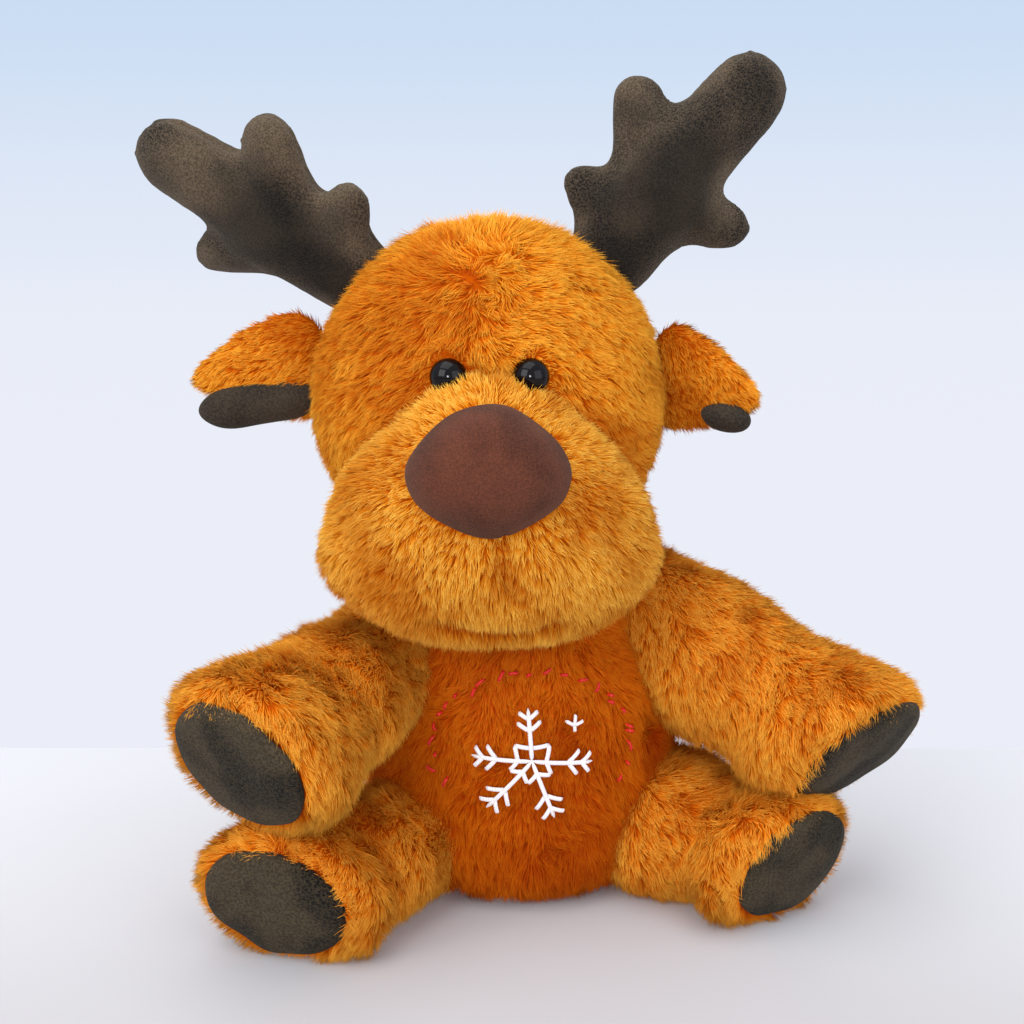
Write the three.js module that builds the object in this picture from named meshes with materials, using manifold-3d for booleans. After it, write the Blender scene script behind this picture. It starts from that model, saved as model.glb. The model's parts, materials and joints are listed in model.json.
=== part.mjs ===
// A seated plush reindeer, about 28 cm tall over the antlers, facing -Y.
// Each stuffed form is a plush cover with a fibre filling inside. A limb is rooted in a ball that sits in a hollow
// of the torso, and an ear or an antler in a seam roll that sits in a slot of the head, so that each one turns
// on its seam without pushing into what carries it. Left and right are the toy's own.
import * as THREE from "three";
import { mergeVertices } from "three/addons/utils/BufferGeometryUtils.js";
import Module from "manifold-3d";

const wasm = await Module();
wasm.setup();

// Driving dimensions, in millimetres and degrees
const GAP = 0.3;
const COVER_WALL = 4;
const FLAT_DEPTH = 0.5;
const RIM_ROOM = 1.6;
const TABLE_WIDTH = 600;
const TABLE_THICKNESS = 60;

const TORSO_WIDTH = 110;
const TORSO_DEPTH = 102;
const TORSO_HEIGHT = 130;
const BELLY_HEIGHT = 48;
const BELLY_LEAN = 4;
const BODY_TURN = 12;
const POUCH_WIDTH = 38;
const POUCH_DEPTH = 28;
const POUCH_HEIGHT = 22;
const POUCH_LIFT = 2;

const NECK_RADIUS = 33;
const NECK_SINK = 20;
const NECK_SIDE = -5;
const NECK_OPENING = 26;
const NOD_BACK = 12;

const HEAD_WIDTH = 121;
const HEAD_DEPTH = 106;
const HEAD_HEIGHT = 122;
const HEAD_SEAT = 3;
const HEAD_SIDE = -6;
const HEAD_FORWARD = 3;

const MUZZLE_WIDTH = 118;
const MUZZLE_DEPTH = 74;
const MUZZLE_HEIGHT = 88;
const MUZZLE_TOP_WIDTH = 66;
const MUZZLE_SIDE = 1;
const MUZZLE_FORWARD = 43;
const MUZZLE_DROP = 31;
const NOSE_WIDTH = 51;
const NOSE_HEIGHT = 41;
const NOSE_DEPTH = 34;
const NOSE_RISE = 17.5;
const NOSE_FORWARD = 32;

const EYE_WIDTH = 12;
const EYE_DOME = 5;
const EYE_SPACING = 26;
const EYE_RISE = 13;
const SHANK_WIDTH = 3.4;
const SHANK_LENGTH = 15;
const WASHER_WIDTH = 11;
const WASHER_THICKNESS = 1.4;

const EAR_LENGTH = { left: 38, right: 44 };
const EAR_WIDTH = 34;
const EAR_THICKNESS = 12;
const EAR_RISE = 12;
const EAR_SWEEP = { left: 34, right: -4 };
const EAR_DROOP = { left: 10, right: 8 };
const EAR_FOLD = 18;
const LINING_WIDTH = 20;

const ANTLER_LENGTH = 86;
const ANTLER_THICKNESS = 24;
const ANTLER_ANGLE = { left: 41.5, right: 48 };
const ANTLER_BACK = 6;
const ANTLER_LEAN = { left: 0, right: 17 };
const ANTLER_TWIST = { left: 0, right: 28 };
const ANTLER_FLOP = 12;

const SHOULDER_DROP = { left: 36, right: 46 };
const SHOULDER_IN = 3;
const SHOULDER_FORWARD = 5;
const ARM = { ball: 23, end: 26.5, reach: 95, round: 12, flat: 1, pad: 23 };
const ARM_SPREAD = { left: 54, right: 26 };
const ARM_DROP = { left: 21.2, right: 6 };
const ARM_SWING = 30;
const PAW_TILT = { left: 16, right: 20 };
const PAW_TURN = { left: -12, right: 5 };

const HIP_IN = 16;
const HIP_FORWARD = 14;
const LEG = { ball: 24, end: 26, round: 11, flat: 0.86, tilt: 14, pad: 22.5 };
const LEG_REACH = { left: 71, right: 76 };
const LEG_SPREAD = { left: 46, right: 35 };
const LEG_SWING = 15;
const SOLE_TURN = { left: -10, right: -18 };

const PAD_THICKNESS = 3;
const PAD_SINK = 2.2;
const END_CROWN = 2;
const STUFFING_HOLE = 22;

const TAIL_LENGTH = 34;
const TAIL_WIDTH = 19;
const TAIL_ROOT = 13;
const TAIL_HEIGHT = 34;
const TAIL_RISE = 35;
const TAIL_WAG = 15;

// Facets around the outer forms, around the room they leave for one another, and around what they hide
const AROUND = 16;
const AROUND_ROOM = 12;
const AROUND_INSIDE = 10;
const SIDES = { left: 1, right: -1 };

const vec = (x, y, z) => new THREE.Vector3(x, y, z);
const rad = THREE.MathUtils.degToRad;
const X_AXIS = vec(1, 0, 0);
const Y_AXIS = vec(0, 1, 0);
const Z_AXIS = vec(0, 0, 1);

// One closed skin: shared vertices joined, faces without area dropped, faces pointing out.
function closed(geometry) {
  const bare = geometry.clone();
  Object.keys(bare.attributes)
    .filter((name) => name !== "position")
    .forEach((name) => bare.deleteAttribute(name));
  const skin = mergeVertices(bare, 1e-4);
  const corners = skin.index.array;
  const point = (i) => new THREE.Vector3().fromBufferAttribute(skin.attributes.position, i);
  const faces = [];
  let volume = 0;
  for (let i = 0; i < corners.length; i += 3) {
    const [a, b, c] = corners.slice(i, i + 3);
    if (a === b || b === c || c === a) continue;
    faces.push([a, b, c]);
    volume += point(a).dot(point(b).cross(point(c)));
  }
  const outward = volume > 0 ? faces : faces.map(([a, b, c]) => [a, c, b]);
  skin.setIndex(outward.flat());
  return skin;
}

// Moves every vertex by a rule and keeps the skin closed.
function shaped(geometry, rule) {
  const skin = closed(geometry);
  const place = skin.attributes.position;
  for (let i = 0; i < place.count; i += 1) {
    const p = rule(new THREE.Vector3().fromBufferAttribute(place, i));
    place.setXYZ(i, p.x, p.y, p.z);
  }
  return skin;
}

function solid(geometry) {
  const skin = closed(geometry);
  const vertProperties = new Float32Array(skin.attributes.position.array);
  const triVerts = new Uint32Array(skin.index.array);
  return new wasm.Manifold(new wasm.Mesh({ numProp: 3, vertProperties, triVerts }));
}

function skinOf(body) {
  const { vertProperties, triVerts } = body.getMesh();
  const geometry = new THREE.BufferGeometry();
  geometry.setAttribute("position", new THREE.BufferAttribute(new Float32Array(vertProperties), 3));
  geometry.setIndex(new THREE.BufferAttribute(new Uint32Array(triVerts), 1));
  return geometry;
}

function joined(bodies) {
  return bodies.reduce((whole, body) => whole.add(body));
}

function cut(body, tools) {
  return tools.reduce((rest, tool) => rest.subtract(tool), body);
}

function turnAbout(pivot, axis, degrees) {
  return new THREE.Matrix4()
    .makeTranslation(pivot)
    .multiply(new THREE.Matrix4().makeRotationAxis(axis, rad(degrees)))
    .multiply(new THREE.Matrix4().makeTranslation(pivot.clone().negate()));
}

// How much larger a coarse form is made, so that its facets stay a gap outside a skin of this radius.
function clear(radius, around = AROUND_ROOM) {
  return (radius + GAP) / Math.cos(Math.PI / around) ** 1.5 - radius;
}

// What a carrier takes up, seen from a piece that turns through these angles.
function pathOf(carrier, pivot, axis, angles) {
  return joined(angles.map((a) => solid(skinOf(carrier).applyMatrix4(turnAbout(pivot, axis, -a)))));
}

function ball(centre, radius, around = AROUND_ROOM) {
  return new THREE.SphereGeometry(radius, around, Math.round(around * 0.65)).translate(...centre);
}

// An axle of one radius along Z, from low to high.
function rod(radius, low, high, around = AROUND_INSIDE) {
  return new THREE.CylinderGeometry(radius, radius, high - low, around)
    .rotateX(Math.PI / 2)
    .translate(0, 0, (low + high) / 2);
}

// A round-ended taper between two points.
function taper(from, to, fromRadius, toRadius, around = AROUND_INSIDE, steps = 1) {
  const length = from.distanceTo(to);
  const side = new THREE.Path();
  side.moveTo(0, -fromRadius);
  side.absarc(0, 0, fromRadius, -Math.PI / 2, 0, false);
  side.lineTo(toRadius, length);
  side.absarc(0, length, toRadius, 0, Math.PI / 2, false);
  const turn = new THREE.Quaternion().setFromUnitVectors(Y_AXIS, to.clone().sub(from).normalize());
  return new THREE.LatheGeometry(side.getPoints(steps), around).applyQuaternion(turn).translate(...from);
}

// Stuffed forms. A positive inset gives the inside of the cover, a negative one the room around it.

// The torso swells at the belly, sits on a nearly flat seat and narrows to the neck.
function torsoForm(inset, around = AROUND) {
  const girth = TORSO_WIDTH / 2 - inset;
  const low = inset - FLAT_DEPTH;
  const high = TORSO_HEIGHT - inset;
  const outline = [];
  const steps = Math.round(around * 0.8);
  for (let i = 0; i <= steps; i += 1) {
    const angle = (Math.PI * i) / steps;
    const below = angle < Math.PI / 2;
    const power = below ? 0.5 : 1;
    const reach = below ? BELLY_HEIGHT - low : high - BELLY_HEIGHT;
    const height = BELLY_HEIGHT - Math.sign(Math.cos(angle)) * reach * Math.abs(Math.cos(angle)) ** power;
    outline.push(new THREE.Vector2(girth * Math.sin(angle) ** power, height));
  }
  const depth = (TORSO_DEPTH / 2 - inset) / girth;
  const lean = (z) => BELLY_LEAN * Math.sin((Math.PI * Math.min(Math.max(z, 0), TORSO_HEIGHT)) / TORSO_HEIGHT);
  return shaped(new THREE.LatheGeometry(outline, around).rotateX(Math.PI / 2), (p) =>
    vec(p.x, p.y * depth - lean(p.z), p.z));
}

function torsoWidthAt(height) {
  const share = (height - BELLY_HEIGHT) / (TORSO_HEIGHT - BELLY_HEIGHT);
  return (TORSO_WIDTH / 2) * Math.sqrt(1 - share * share);
}

const NECK = vec(NECK_SIDE, -BELLY_LEAN / 2, TORSO_HEIGHT - NECK_SINK);
const HEAD = vec(NECK.x + HEAD_SIDE, NECK.y - HEAD_FORWARD, NECK.z + HEAD_SEAT + HEAD_HEIGHT / 2);
const MUZZLE = vec(HEAD.x + MUZZLE_SIDE, HEAD.y - MUZZLE_FORWARD, HEAD.z - MUZZLE_DROP);

function headForm(inset, around = AROUND + 4) {
  const globe = new THREE.SphereGeometry(1, around, Math.round(around * 0.65)).rotateX(Math.PI / 2);
  const half = vec(HEAD_WIDTH, HEAD_DEPTH, HEAD_HEIGHT).multiplyScalar(0.5).subScalar(inset);
  return shaped(globe, (p) => p.multiply(half).add(HEAD));
}

// How far the head's skin stands out, at a height above its middle and a distance to one side.
function headFront(side, rise) {
  const share = 1 - ((2 * side) / HEAD_WIDTH) ** 2 - ((2 * rise) / HEAD_HEIGHT) ** 2;
  return (HEAD_DEPTH / 2) * Math.sqrt(share);
}

// The muzzle is narrow under the eyes and fills out to two heavy jowls.
function muzzleForm(inset, around = AROUND + 2) {
  const globe = new THREE.SphereGeometry(1, around, Math.round(around * 0.65)).rotateX(Math.PI / 2);
  const wide = MUZZLE_WIDTH / 2 - inset;
  const narrow = MUZZLE_TOP_WIDTH / 2 - inset;
  return shaped(globe, (p) => {
    const share = THREE.MathUtils.smoothstep(p.z, -0.55, 0.95);
    const width = wide + (narrow - wide) * share;
    const heavy = p.z < 0 ? 0.82 : 1;
    const rise = Math.sign(p.z) * Math.abs(p.z) ** heavy;
    return vec(p.x * width, p.y * (MUZZLE_DEPTH / 2 - inset), rise * (MUZZLE_HEIGHT / 2 - inset)).add(MUZZLE);
  });
}

// The nose is a shield: broad above, drawn to a blunt point below.
function noseForm() {
  const globe = new THREE.SphereGeometry(1, AROUND, AROUND_ROOM).rotateX(Math.PI / 2);
  const middle = MUZZLE.clone().add(vec(0, -NOSE_FORWARD, NOSE_RISE));
  return shaped(globe, (p) => {
    const draw = 1 - 0.3 * THREE.MathUtils.smoothstep(-p.z, 0.1, 1);
    return vec((p.x * draw * NOSE_WIDTH) / 2, (p.y * NOSE_DEPTH) / 2, (p.z * NOSE_HEIGHT) / 2).add(middle);
  });
}

// A limb seen from its side: a ball at the joint, swelling to a foot with a softly crowned end.
function limbPath(limb, inset, steps) {
  const root = limb.ball - inset;
  const end = limb.end - inset;
  const reach = limb.reach - inset;
  const round = limb.round - inset;
  const side = new THREE.Path();
  side.moveTo(0, -root);
  side.absarc(0, 0, root, -Math.PI / 2, 0, false);
  side.bezierCurveTo(root, reach * 0.3, end, reach * 0.4, end, reach - round);
  side.absarc(end - round, reach - round, round, 0, Math.PI / 2, false);
  side.quadraticCurveTo((end - round) / 2, reach + END_CROWN, 0, reach + END_CROWN);
  return side.getPoints(steps);
}

// A pad's room in the end of a limb, from this far behind the crown to this far in front.
function padPath(limb, radius, behind, front) {
  const side = new THREE.Path();
  side.moveTo(0, limb.reach + END_CROWN - behind);
  side.lineTo(radius, limb.reach - behind);
  side.lineTo(radius, limb.reach + front - 1);
  side.quadraticCurveTo(radius / 2, limb.reach + END_CROWN + front, 0, limb.reach + END_CROWN + front);
  return side.getPoints(2);
}

// Lays a profile along a limb: forward is -Y, the end leans and turns with the pad, the section is flattened.
function limbForm(limb, profile, place, around) {
  const along = new THREE.LatheGeometry(profile, around).rotateX(Math.PI);
  const lean = Math.tan(rad(limb.tilt));
  const turn = Math.tan(rad(limb.turn));
  return shaped(along, (p) => {
    const share = THREE.MathUtils.smoothstep(-p.y, limb.reach * 0.4, limb.reach);
    return vec(p.x, p.y - share * (lean * p.z + turn * p.x), p.z * limb.flat);
  }).applyMatrix4(place);
}

// Colours of the cloths and mouldings
const cloth = (color) => new THREE.MeshStandardMaterial({ color, roughness: 0.95, metalness: 0 });
const COLOURS = {
  plush: () => cloth(0xc9781c),
  velour: () => cloth(0x4a423b),
  noseCloth: () => cloth(0x4b2a20),
  fibre: () => cloth(0xf1efe8),
  pellets: () => cloth(0xd8d2c2),
  eye: () => new THREE.MeshStandardMaterial({ color: 0x0b0b0d, roughness: 0.08, metalness: 0 }),
  washer: () => new THREE.MeshStandardMaterial({ color: 0xe6e3da, roughness: 0.5, metalness: 0 }),
};

const reindeer = new THREE.Group();

function movingGroup(pivot, parent = reindeer) {
  const group = new THREE.Group();
  const offset = parent.userData.pivot ?? vec(0, 0, 0);
  group.position.copy(pivot).sub(offset);
  group.userData.pivot = pivot;
  parent.add(group);
  return group;
}

function addPiece(group, name, body, material) {
  const pivot = group.userData.pivot ?? vec(0, 0, 0);
  const mesh = new THREE.Mesh(skinOf(body).translate(-pivot.x, -pivot.y, -pivot.z), material());
  mesh.geometry.computeVertexNormals();
  mesh.name = name;
  group.add(mesh);
}

// Torso, with a neck ball on top, hollows for the limbs and a flat seat

function onBody(side, out, forward, height) {
  return vec(side * out, -forward, height).applyAxisAngle(Z_AXIS, rad(BODY_TURN));
}

const table = solid(
  new THREE.BoxGeometry(TABLE_WIDTH, TABLE_WIDTH, TABLE_THICKNESS).translate(0, 0, -TABLE_THICKNESS / 2));
const tailRoot = onBody(0, 0, -(TORSO_DEPTH / 2 - BELLY_LEAN / 2 - TAIL_ROOT / 4), TAIL_HEIGHT);
const tailAlong = vec(0, Math.cos(rad(TAIL_RISE)), Math.sin(rad(TAIL_RISE))).applyAxisAngle(Z_AXIS, rad(BODY_TURN));
const limbs = Object.entries(SIDES).flatMap(([name, side]) => {
  const height = TORSO_HEIGHT - SHOULDER_DROP[name];
  const shoulder = onBody(side, torsoWidthAt(height) - SHOULDER_IN, SHOULDER_FORWARD, height);
  const hip = onBody(side, TORSO_WIDTH / 2 - HIP_IN, HIP_FORWARD, LEG.end * LEG.flat - FLAT_DEPTH);
  const aim = (pivot, spread, drop) =>
    new THREE.Matrix4()
      .makeTranslation(pivot)
      .multiply(new THREE.Matrix4().makeRotationZ(rad(side * spread)))
      .multiply(new THREE.Matrix4().makeRotationX(rad(drop)));
  return [
    { name: `${name}_arm`, kind: { ...ARM, tilt: PAW_TILT[name], turn: -side * PAW_TURN[name] },
      pivot: shoulder, place: aim(shoulder, ARM_SPREAD[name], ARM_DROP[name]),
      pad: `${name}_paw_pad`, axis: Z_AXIS.clone().multiplyScalar(side), swing: ARM_SWING },
    { name: `${name}_leg`, kind: { ...LEG, reach: LEG_REACH[name], turn: -side * SOLE_TURN[name] },
      pivot: hip, place: aim(hip, LEG_SPREAD[name], 0),
      pad: `${name}_sole_pad`, axis: Z_AXIS.clone().multiplyScalar(-side), swing: LEG_SWING },
  ];
});

// Extra room is moved out along the limb, so that it widens the rim and leaves the root's seat close.
function limbHollow({ kind, place }, room) {
  const radius = kind.ball + clear(kind.ball) + room;
  const round = ball(vec(0, kind.ball + 2 * GAP - radius, 0).multiplyScalar(Math.sign(room)), radius);
  return solid(shaped(round, (p) => vec(p.x, p.y, p.z * kind.flat)).applyMatrix4(place));
}

const limbHollows = limbs.map((limb) => limbHollow(limb, RIM_ROOM));
const tailHollow = (room) =>
  solid(ball(tailRoot.clone().addScaledVector(tailAlong, room * 0.8), TAIL_ROOT / 2 + clear(TAIL_ROOT / 2) + room));
const torsoOutside = solid(torsoForm(0)).add(solid(ball(NECK, NECK_RADIUS, AROUND)));
const torsoRoom = solid(torsoForm(-clear(TORSO_WIDTH / 2), AROUND_ROOM));
const neckRoom = solid(ball(NECK, NECK_RADIUS + clear(NECK_RADIUS)));
const torsoInside = (inset) => solid(torsoForm(inset, AROUND_INSIDE)).add(solid(ball(NECK, NECK_RADIUS - inset, AROUND_INSIDE)));
const neckHole = solid(rod(NECK_OPENING / 2, NECK.z, NECK.z + 2 * NECK_RADIUS, AROUND_INSIDE).translate(NECK.x, NECK.y, 0));
const seatLevel = COVER_WALL + POUCH_LIFT;
const pouchAt = vec(0, POUCH_DEPTH / 2, seatLevel + POUCH_HEIGHT * 0.35);
const pouchForm = (room) =>
  shaped(new THREE.SphereGeometry(1, AROUND_ROOM, 8).rotateX(Math.PI / 2), (p) => {
    const half = vec(POUCH_WIDTH, POUCH_DEPTH, POUCH_HEIGHT).multiplyScalar(0.5).addScalar(room);
    const place = p.multiply(half).add(pouchAt);
    return place.setZ(Math.max(place.z, room > 0 ? 0 : seatLevel));
  });

addPiece(reindeer, "torso_cover",
  cut(torsoOutside, [torsoInside(COVER_WALL), neckHole, table, tailHollow(RIM_ROOM), ...limbHollows]), COLOURS.plush);
addPiece(reindeer, "torso_filling",
  cut(torsoInside(COVER_WALL + GAP), [solid(pouchForm(GAP)), tailHollow(RIM_ROOM), ...limbHollows]), COLOURS.fibre);
addPiece(reindeer, "pellet_pouch", solid(pouchForm(0)), COLOURS.pellets);

// Arms and legs, each a cover, its filling and the pad on its end

for (const limb of limbs) {
  const group = movingGroup(limb.pivot);
  const { kind, place } = limb;
  const outside = solid(limbForm(kind, limbPath(kind, 0, 2), place, AROUND));
  const inside = (inset) => solid(limbForm(kind, limbPath(kind, inset, 1), place, AROUND_INSIDE));
  const rootHole = solid(rod(STUFFING_HOLE / 2, 0, 2 * kind.ball).rotateX(-Math.PI / 2).applyMatrix4(place));
  const padRoom = solid(limbForm(kind, padPath(kind, kind.pad + GAP, PAD_SINK + GAP, PAD_THICKNESS), place, AROUND_ROOM));
  const pad = solid(limbForm(kind, padPath(kind, kind.pad, PAD_SINK, PAD_THICKNESS - PAD_SINK), place, AROUND_ROOM));
  const rootSpace = solid(ball(limb.pivot, kind.ball + COVER_WALL));
  const hollowed = cut(torsoRoom, [limbHollow(limb, 0)]);
  const blocked = pathOf(hollowed, limb.pivot, limb.axis, [0, limb.swing / 2, limb.swing]);
  addPiece(group, `${limb.name}_cover`, cut(outside, [inside(COVER_WALL), rootHole, padRoom, table, blocked]), COLOURS.plush);
  addPiece(group, `${limb.name}_filling`, cut(inside(COVER_WALL + GAP), [blocked, rootSpace]), COLOURS.fibre);
  addPiece(group, limb.pad, cut(pad, [table]), COLOURS.velour);
}

// Tail, a short plush taper on its own root ball

const tailGroup = movingGroup(tailRoot);
const tailTip = tailRoot.clone().addScaledVector(tailAlong, TAIL_LENGTH - TAIL_WIDTH / 2);
const tailPath = pathOf(cut(torsoRoom, [tailHollow(0)]), tailRoot, Z_AXIS, [-TAIL_WAG, 0, TAIL_WAG]);
const tail = solid(taper(tailRoot, tailTip, TAIL_ROOT / 2, TAIL_WIDTH / 2));
addPiece(tailGroup, "tail", cut(tail, [tailPath]), COLOURS.plush);

// Eyes: a domed button, its shank through the cover, and the washer that locks it

function eyeFrame(side) {
  const across = (side * EYE_SPACING) / 2;
  const seat = vec(MUZZLE.x + across, HEAD.y - headFront(MUZZLE.x - HEAD.x + across, EYE_RISE), HEAD.z + EYE_RISE);
  return new THREE.Matrix4().makeTranslation(seat).multiply(new THREE.Matrix4().makeRotationX(Math.PI / 2));
}

function eyeForm(room) {
  const dome = new THREE.Path();
  dome.moveTo(0, -SHANK_LENGTH - room);
  dome.lineTo(SHANK_WIDTH / 2 + room, -SHANK_LENGTH - room);
  dome.lineTo(SHANK_WIDTH / 2 + room, -room);
  dome.lineTo(EYE_WIDTH / 2 + room, -room);
  dome.absellipse(0, 0, EYE_WIDTH / 2 + room, EYE_DOME + room, 0, Math.PI / 2, false);
  return new THREE.LatheGeometry(dome.getPoints(2), AROUND_INSIDE).rotateX(Math.PI / 2);
}

function washerForm(room, bore) {
  const high = -COVER_WALL - 2 * GAP + room;
  const low = -COVER_WALL - 2 * GAP - WASHER_THICKNESS - room;
  const ring = solid(rod(WASHER_WIDTH / 2 + room, low, high));
  return bore ? skinOf(ring.subtract(solid(rod(SHANK_WIDTH / 2 + GAP, low - 1, high + 1)))) : skinOf(ring);
}

const eyes = Object.entries(SIDES).map(([name, side]) => ({ name, frame: eyeFrame(side) }));
const eyeRooms = eyes.map(({ frame }) => solid(eyeForm(GAP).applyMatrix4(frame)));
const washerRooms = eyes.map(({ frame }) => solid(washerForm(GAP, false).applyMatrix4(frame)));

// Ears and antlers stand on the head's skin: X' points out of it, Z' runs along the root seam or across it.

function skinFrame(side, across, back, rise) {
  const half = vec(HEAD_WIDTH, HEAD_DEPTH, HEAD_HEIGHT).multiplyScalar(0.5);
  const seat = vec(side * across, back, rise);
  const out = vec(seat.x / half.x ** 2, 0, seat.z / half.z ** 2).normalize();
  return { seat: seat.add(HEAD), out, along: vec(0, side, 0).cross(out).normalize() };
}

function earFrame(name, side) {
  const across = (HEAD_WIDTH / 2) * Math.sqrt(1 - ((2 * EAR_RISE) / HEAD_HEIGHT) ** 2);
  const { seat, out } = skinFrame(side, across, 0, EAR_RISE);
  const up = vec(0, -side, 0).cross(out).normalize();
  const reach = vec(side * Math.cos(rad(EAR_DROOP[name])), 0, -Math.sin(rad(EAR_DROOP[name])))
    .applyAxisAngle(Z_AXIS, rad(-side * EAR_SWEEP[name]));
  return { name, side, seat, up, reach };
}

// A leaf with a round root roll; the lining lies along its lower front edge.
function earLeaf(ear, width, thickness, length, lower = 0, forward = 0, start = 0) {
  const globe = new THREE.SphereGeometry(1, AROUND_INSIDE, AROUND_INSIDE - 2).rotateX(Math.PI / 2);
  const turn = new THREE.Matrix4().makeBasis(
    ear.reach,
    ear.up.clone().cross(ear.reach).normalize(),
    ear.reach.clone().cross(ear.up.clone().cross(ear.reach)).normalize());
  return shaped(globe, (p) => {
    const out = start + ((p.x + 0.85) / 1.85) * (1 - start);
    const taperShare = 1 - 0.34 * THREE.MathUtils.smoothstep(out, 0.3, 1);
    return vec(out * length, (p.y * thickness) / 2 - ear.side * forward, (p.z * taperShare * width) / 2 - lower);
  }).applyMatrix4(turn).translate(...ear.seat);
}

const ears = Object.entries(SIDES).map(([name, side]) => earFrame(name, side));
const rollOf = (seat, along, half, radius) =>
  taper(seat.clone().addScaledVector(along, -half), seat.clone().addScaledVector(along, half), radius, radius);
const earRoll = (ear, room) => solid(rollOf(ear.seat, ear.up, EAR_WIDTH / 2 - EAR_THICKNESS / 2, EAR_THICKNESS / 2 + room));
const EAR_ROOM = clear(EAR_THICKNESS / 2, AROUND_INSIDE);

function antlerFrame(name, side) {
  const level = Math.sqrt(1 - ((2 * ANTLER_BACK) / HEAD_DEPTH) ** 2);
  const across = (HEAD_WIDTH / 2) * level * Math.sin(rad(ANTLER_ANGLE[name]));
  const rise = (HEAD_HEIGHT / 2) * level * Math.cos(rad(ANTLER_ANGLE[name]));
  return { name, side, lean: ANTLER_LEAN[name], twist: ANTLER_TWIST[name], ...skinFrame(side, across, ANTLER_BACK, rise) };
}

// Tines as tapers in the antler's own plane, each given by its ends and radii as shares of the antler's length.
const TINES = [
  { from: [0, 0], to: [0.23, 0.31], radii: [0.19, 0.24] },
  { from: [0.25, 0.33], to: [0.56, 0.67], radii: [0.21, 0.17] },
  { from: [0.17, 0.37], to: [0.12, 0.64], radii: [0.16, 0.125] },
  { from: [0.04, 0.17], to: [-0.1, 0.31], radii: [0.17, 0.105] },
  { from: [0.25, 0.22], to: [0.5, 0.14], radii: [0.16, 0.11] },
];
const LOWER_TINE_TIP = { left: [0.5, 0.14], right: [0.58, 0.24] };
const BEAM = vec(TINES[1].to[0], 0, TINES[1].to[1]).normalize();

function antlerForm(antler) {
  const widest = Math.max(...TINES.flatMap((tine) => tine.radii)) * ANTLER_LENGTH;
  const at = ([x, z]) => vec(antler.side * x, 0, z).multiplyScalar(ANTLER_LENGTH);
  const flatten = (p) => vec(p.x, (p.y * ANTLER_THICKNESS) / (2 * widest), p.z);
  const tines = TINES.map(({ from, to, radii }, place) => {
    const end = place === TINES.length - 1 ? LOWER_TINE_TIP[antler.name] : to;
    const [root, tip] = radii.map((share) => share * ANTLER_LENGTH);
    return solid(shaped(taper(at(from), at(end), root, tip, AROUND_INSIDE, 2), flatten));
  });
  const beam = vec(antler.side * BEAM.x, 0, BEAM.z);
  const turn = new THREE.Quaternion().setFromAxisAngle(beam, rad(antler.side * antler.twist));
  const whole = skinOf(joined(tines)).applyQuaternion(turn).rotateY(rad(antler.side * antler.lean));
  return solid(whole.translate(...antler.seat));
}

const antlers = Object.entries(SIDES).map(([name, side]) => antlerFrame(name, side));
const ANTLER_ROLL = ANTLER_THICKNESS * 0.42;
const antlerRoll = (antler, room) => solid(rollOf(antler.seat, antler.along, ANTLER_ROLL * 0.4, ANTLER_ROLL + room));
const ANTLER_ROOM = clear(ANTLER_ROLL, AROUND_INSIDE);

// Head: cover, filling, muzzle and nose share the neck seam as their hinge

const headGroup = movingGroup(NECK);
const neckPath = pathOf(torsoRoom, NECK, X_AXIS, [0, -NOD_BACK]).add(neckRoom);
const slots = [
  ...ears.map((ear) => earRoll(ear, EAR_ROOM)),
  ...antlers.map((antler) => antlerRoll(antler, ANTLER_ROOM + RIM_ROOM / 2)),
];
const headRoom = solid(headForm(-clear(HEAD_WIDTH / 2, AROUND), AROUND));
const headInside = (inset) => solid(headForm(inset, AROUND_INSIDE));
const muzzleInside = (inset) => solid(muzzleForm(inset, AROUND_INSIDE));
const muzzleRoom = solid(muzzleForm(-clear(MUZZLE_WIDTH / 2, AROUND), AROUND));

addPiece(headGroup, "head_cover",
  cut(solid(headForm(0)), [headInside(COVER_WALL), neckPath, ...slots, ...eyeRooms, ...washerRooms]), COLOURS.plush);
addPiece(headGroup, "head_filling",
  cut(headInside(COVER_WALL + GAP), [neckPath, ...slots, ...eyeRooms, ...washerRooms]), COLOURS.fibre);
addPiece(headGroup, "muzzle_cover",
  cut(solid(muzzleForm(0)), [muzzleInside(COVER_WALL), headRoom, neckPath, ...eyeRooms]), COLOURS.plush);
addPiece(headGroup, "muzzle_filling",
  cut(muzzleInside(COVER_WALL + GAP), [headRoom, neckPath, ...eyeRooms]), COLOURS.fibre);
addPiece(headGroup, "nose", cut(solid(noseForm()), [muzzleRoom]), COLOURS.noseCloth);

for (const { name, frame } of eyes) {
  addPiece(headGroup, `${name}_eye`, solid(eyeForm(0).applyMatrix4(frame)), COLOURS.eye);
  addPiece(headGroup, `${name}_eye_washer`, solid(washerForm(0, true).applyMatrix4(frame)), COLOURS.washer);
}

for (const ear of ears) {
  const group = movingGroup(ear.seat, headGroup);
  const length = EAR_LENGTH[ear.name];
  const blocked = pathOf(cut(headRoom, [earRoll(ear, EAR_ROOM)]), ear.seat, ear.up, [-EAR_FOLD, EAR_FOLD]);
  const back = solid(earLeaf(ear, EAR_WIDTH, EAR_THICKNESS, length)).add(earRoll(ear, 0));
  const backRoom = solid(earLeaf(ear, EAR_WIDTH + 2 * GAP, EAR_THICKNESS + 2 * GAP, length + GAP)).add(earRoll(ear, GAP));
  const lower = EAR_WIDTH / 2 - LINING_WIDTH * 0.36;
  const lining = solid(earLeaf(ear, LINING_WIDTH, EAR_THICKNESS, length * 0.98, lower, 3, 0.2));
  addPiece(group, `${ear.name}_ear_back`, cut(back, [blocked]), COLOURS.plush);
  addPiece(group, `${ear.name}_ear_lining`, cut(lining, [backRoom, blocked]), COLOURS.velour);
}

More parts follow.
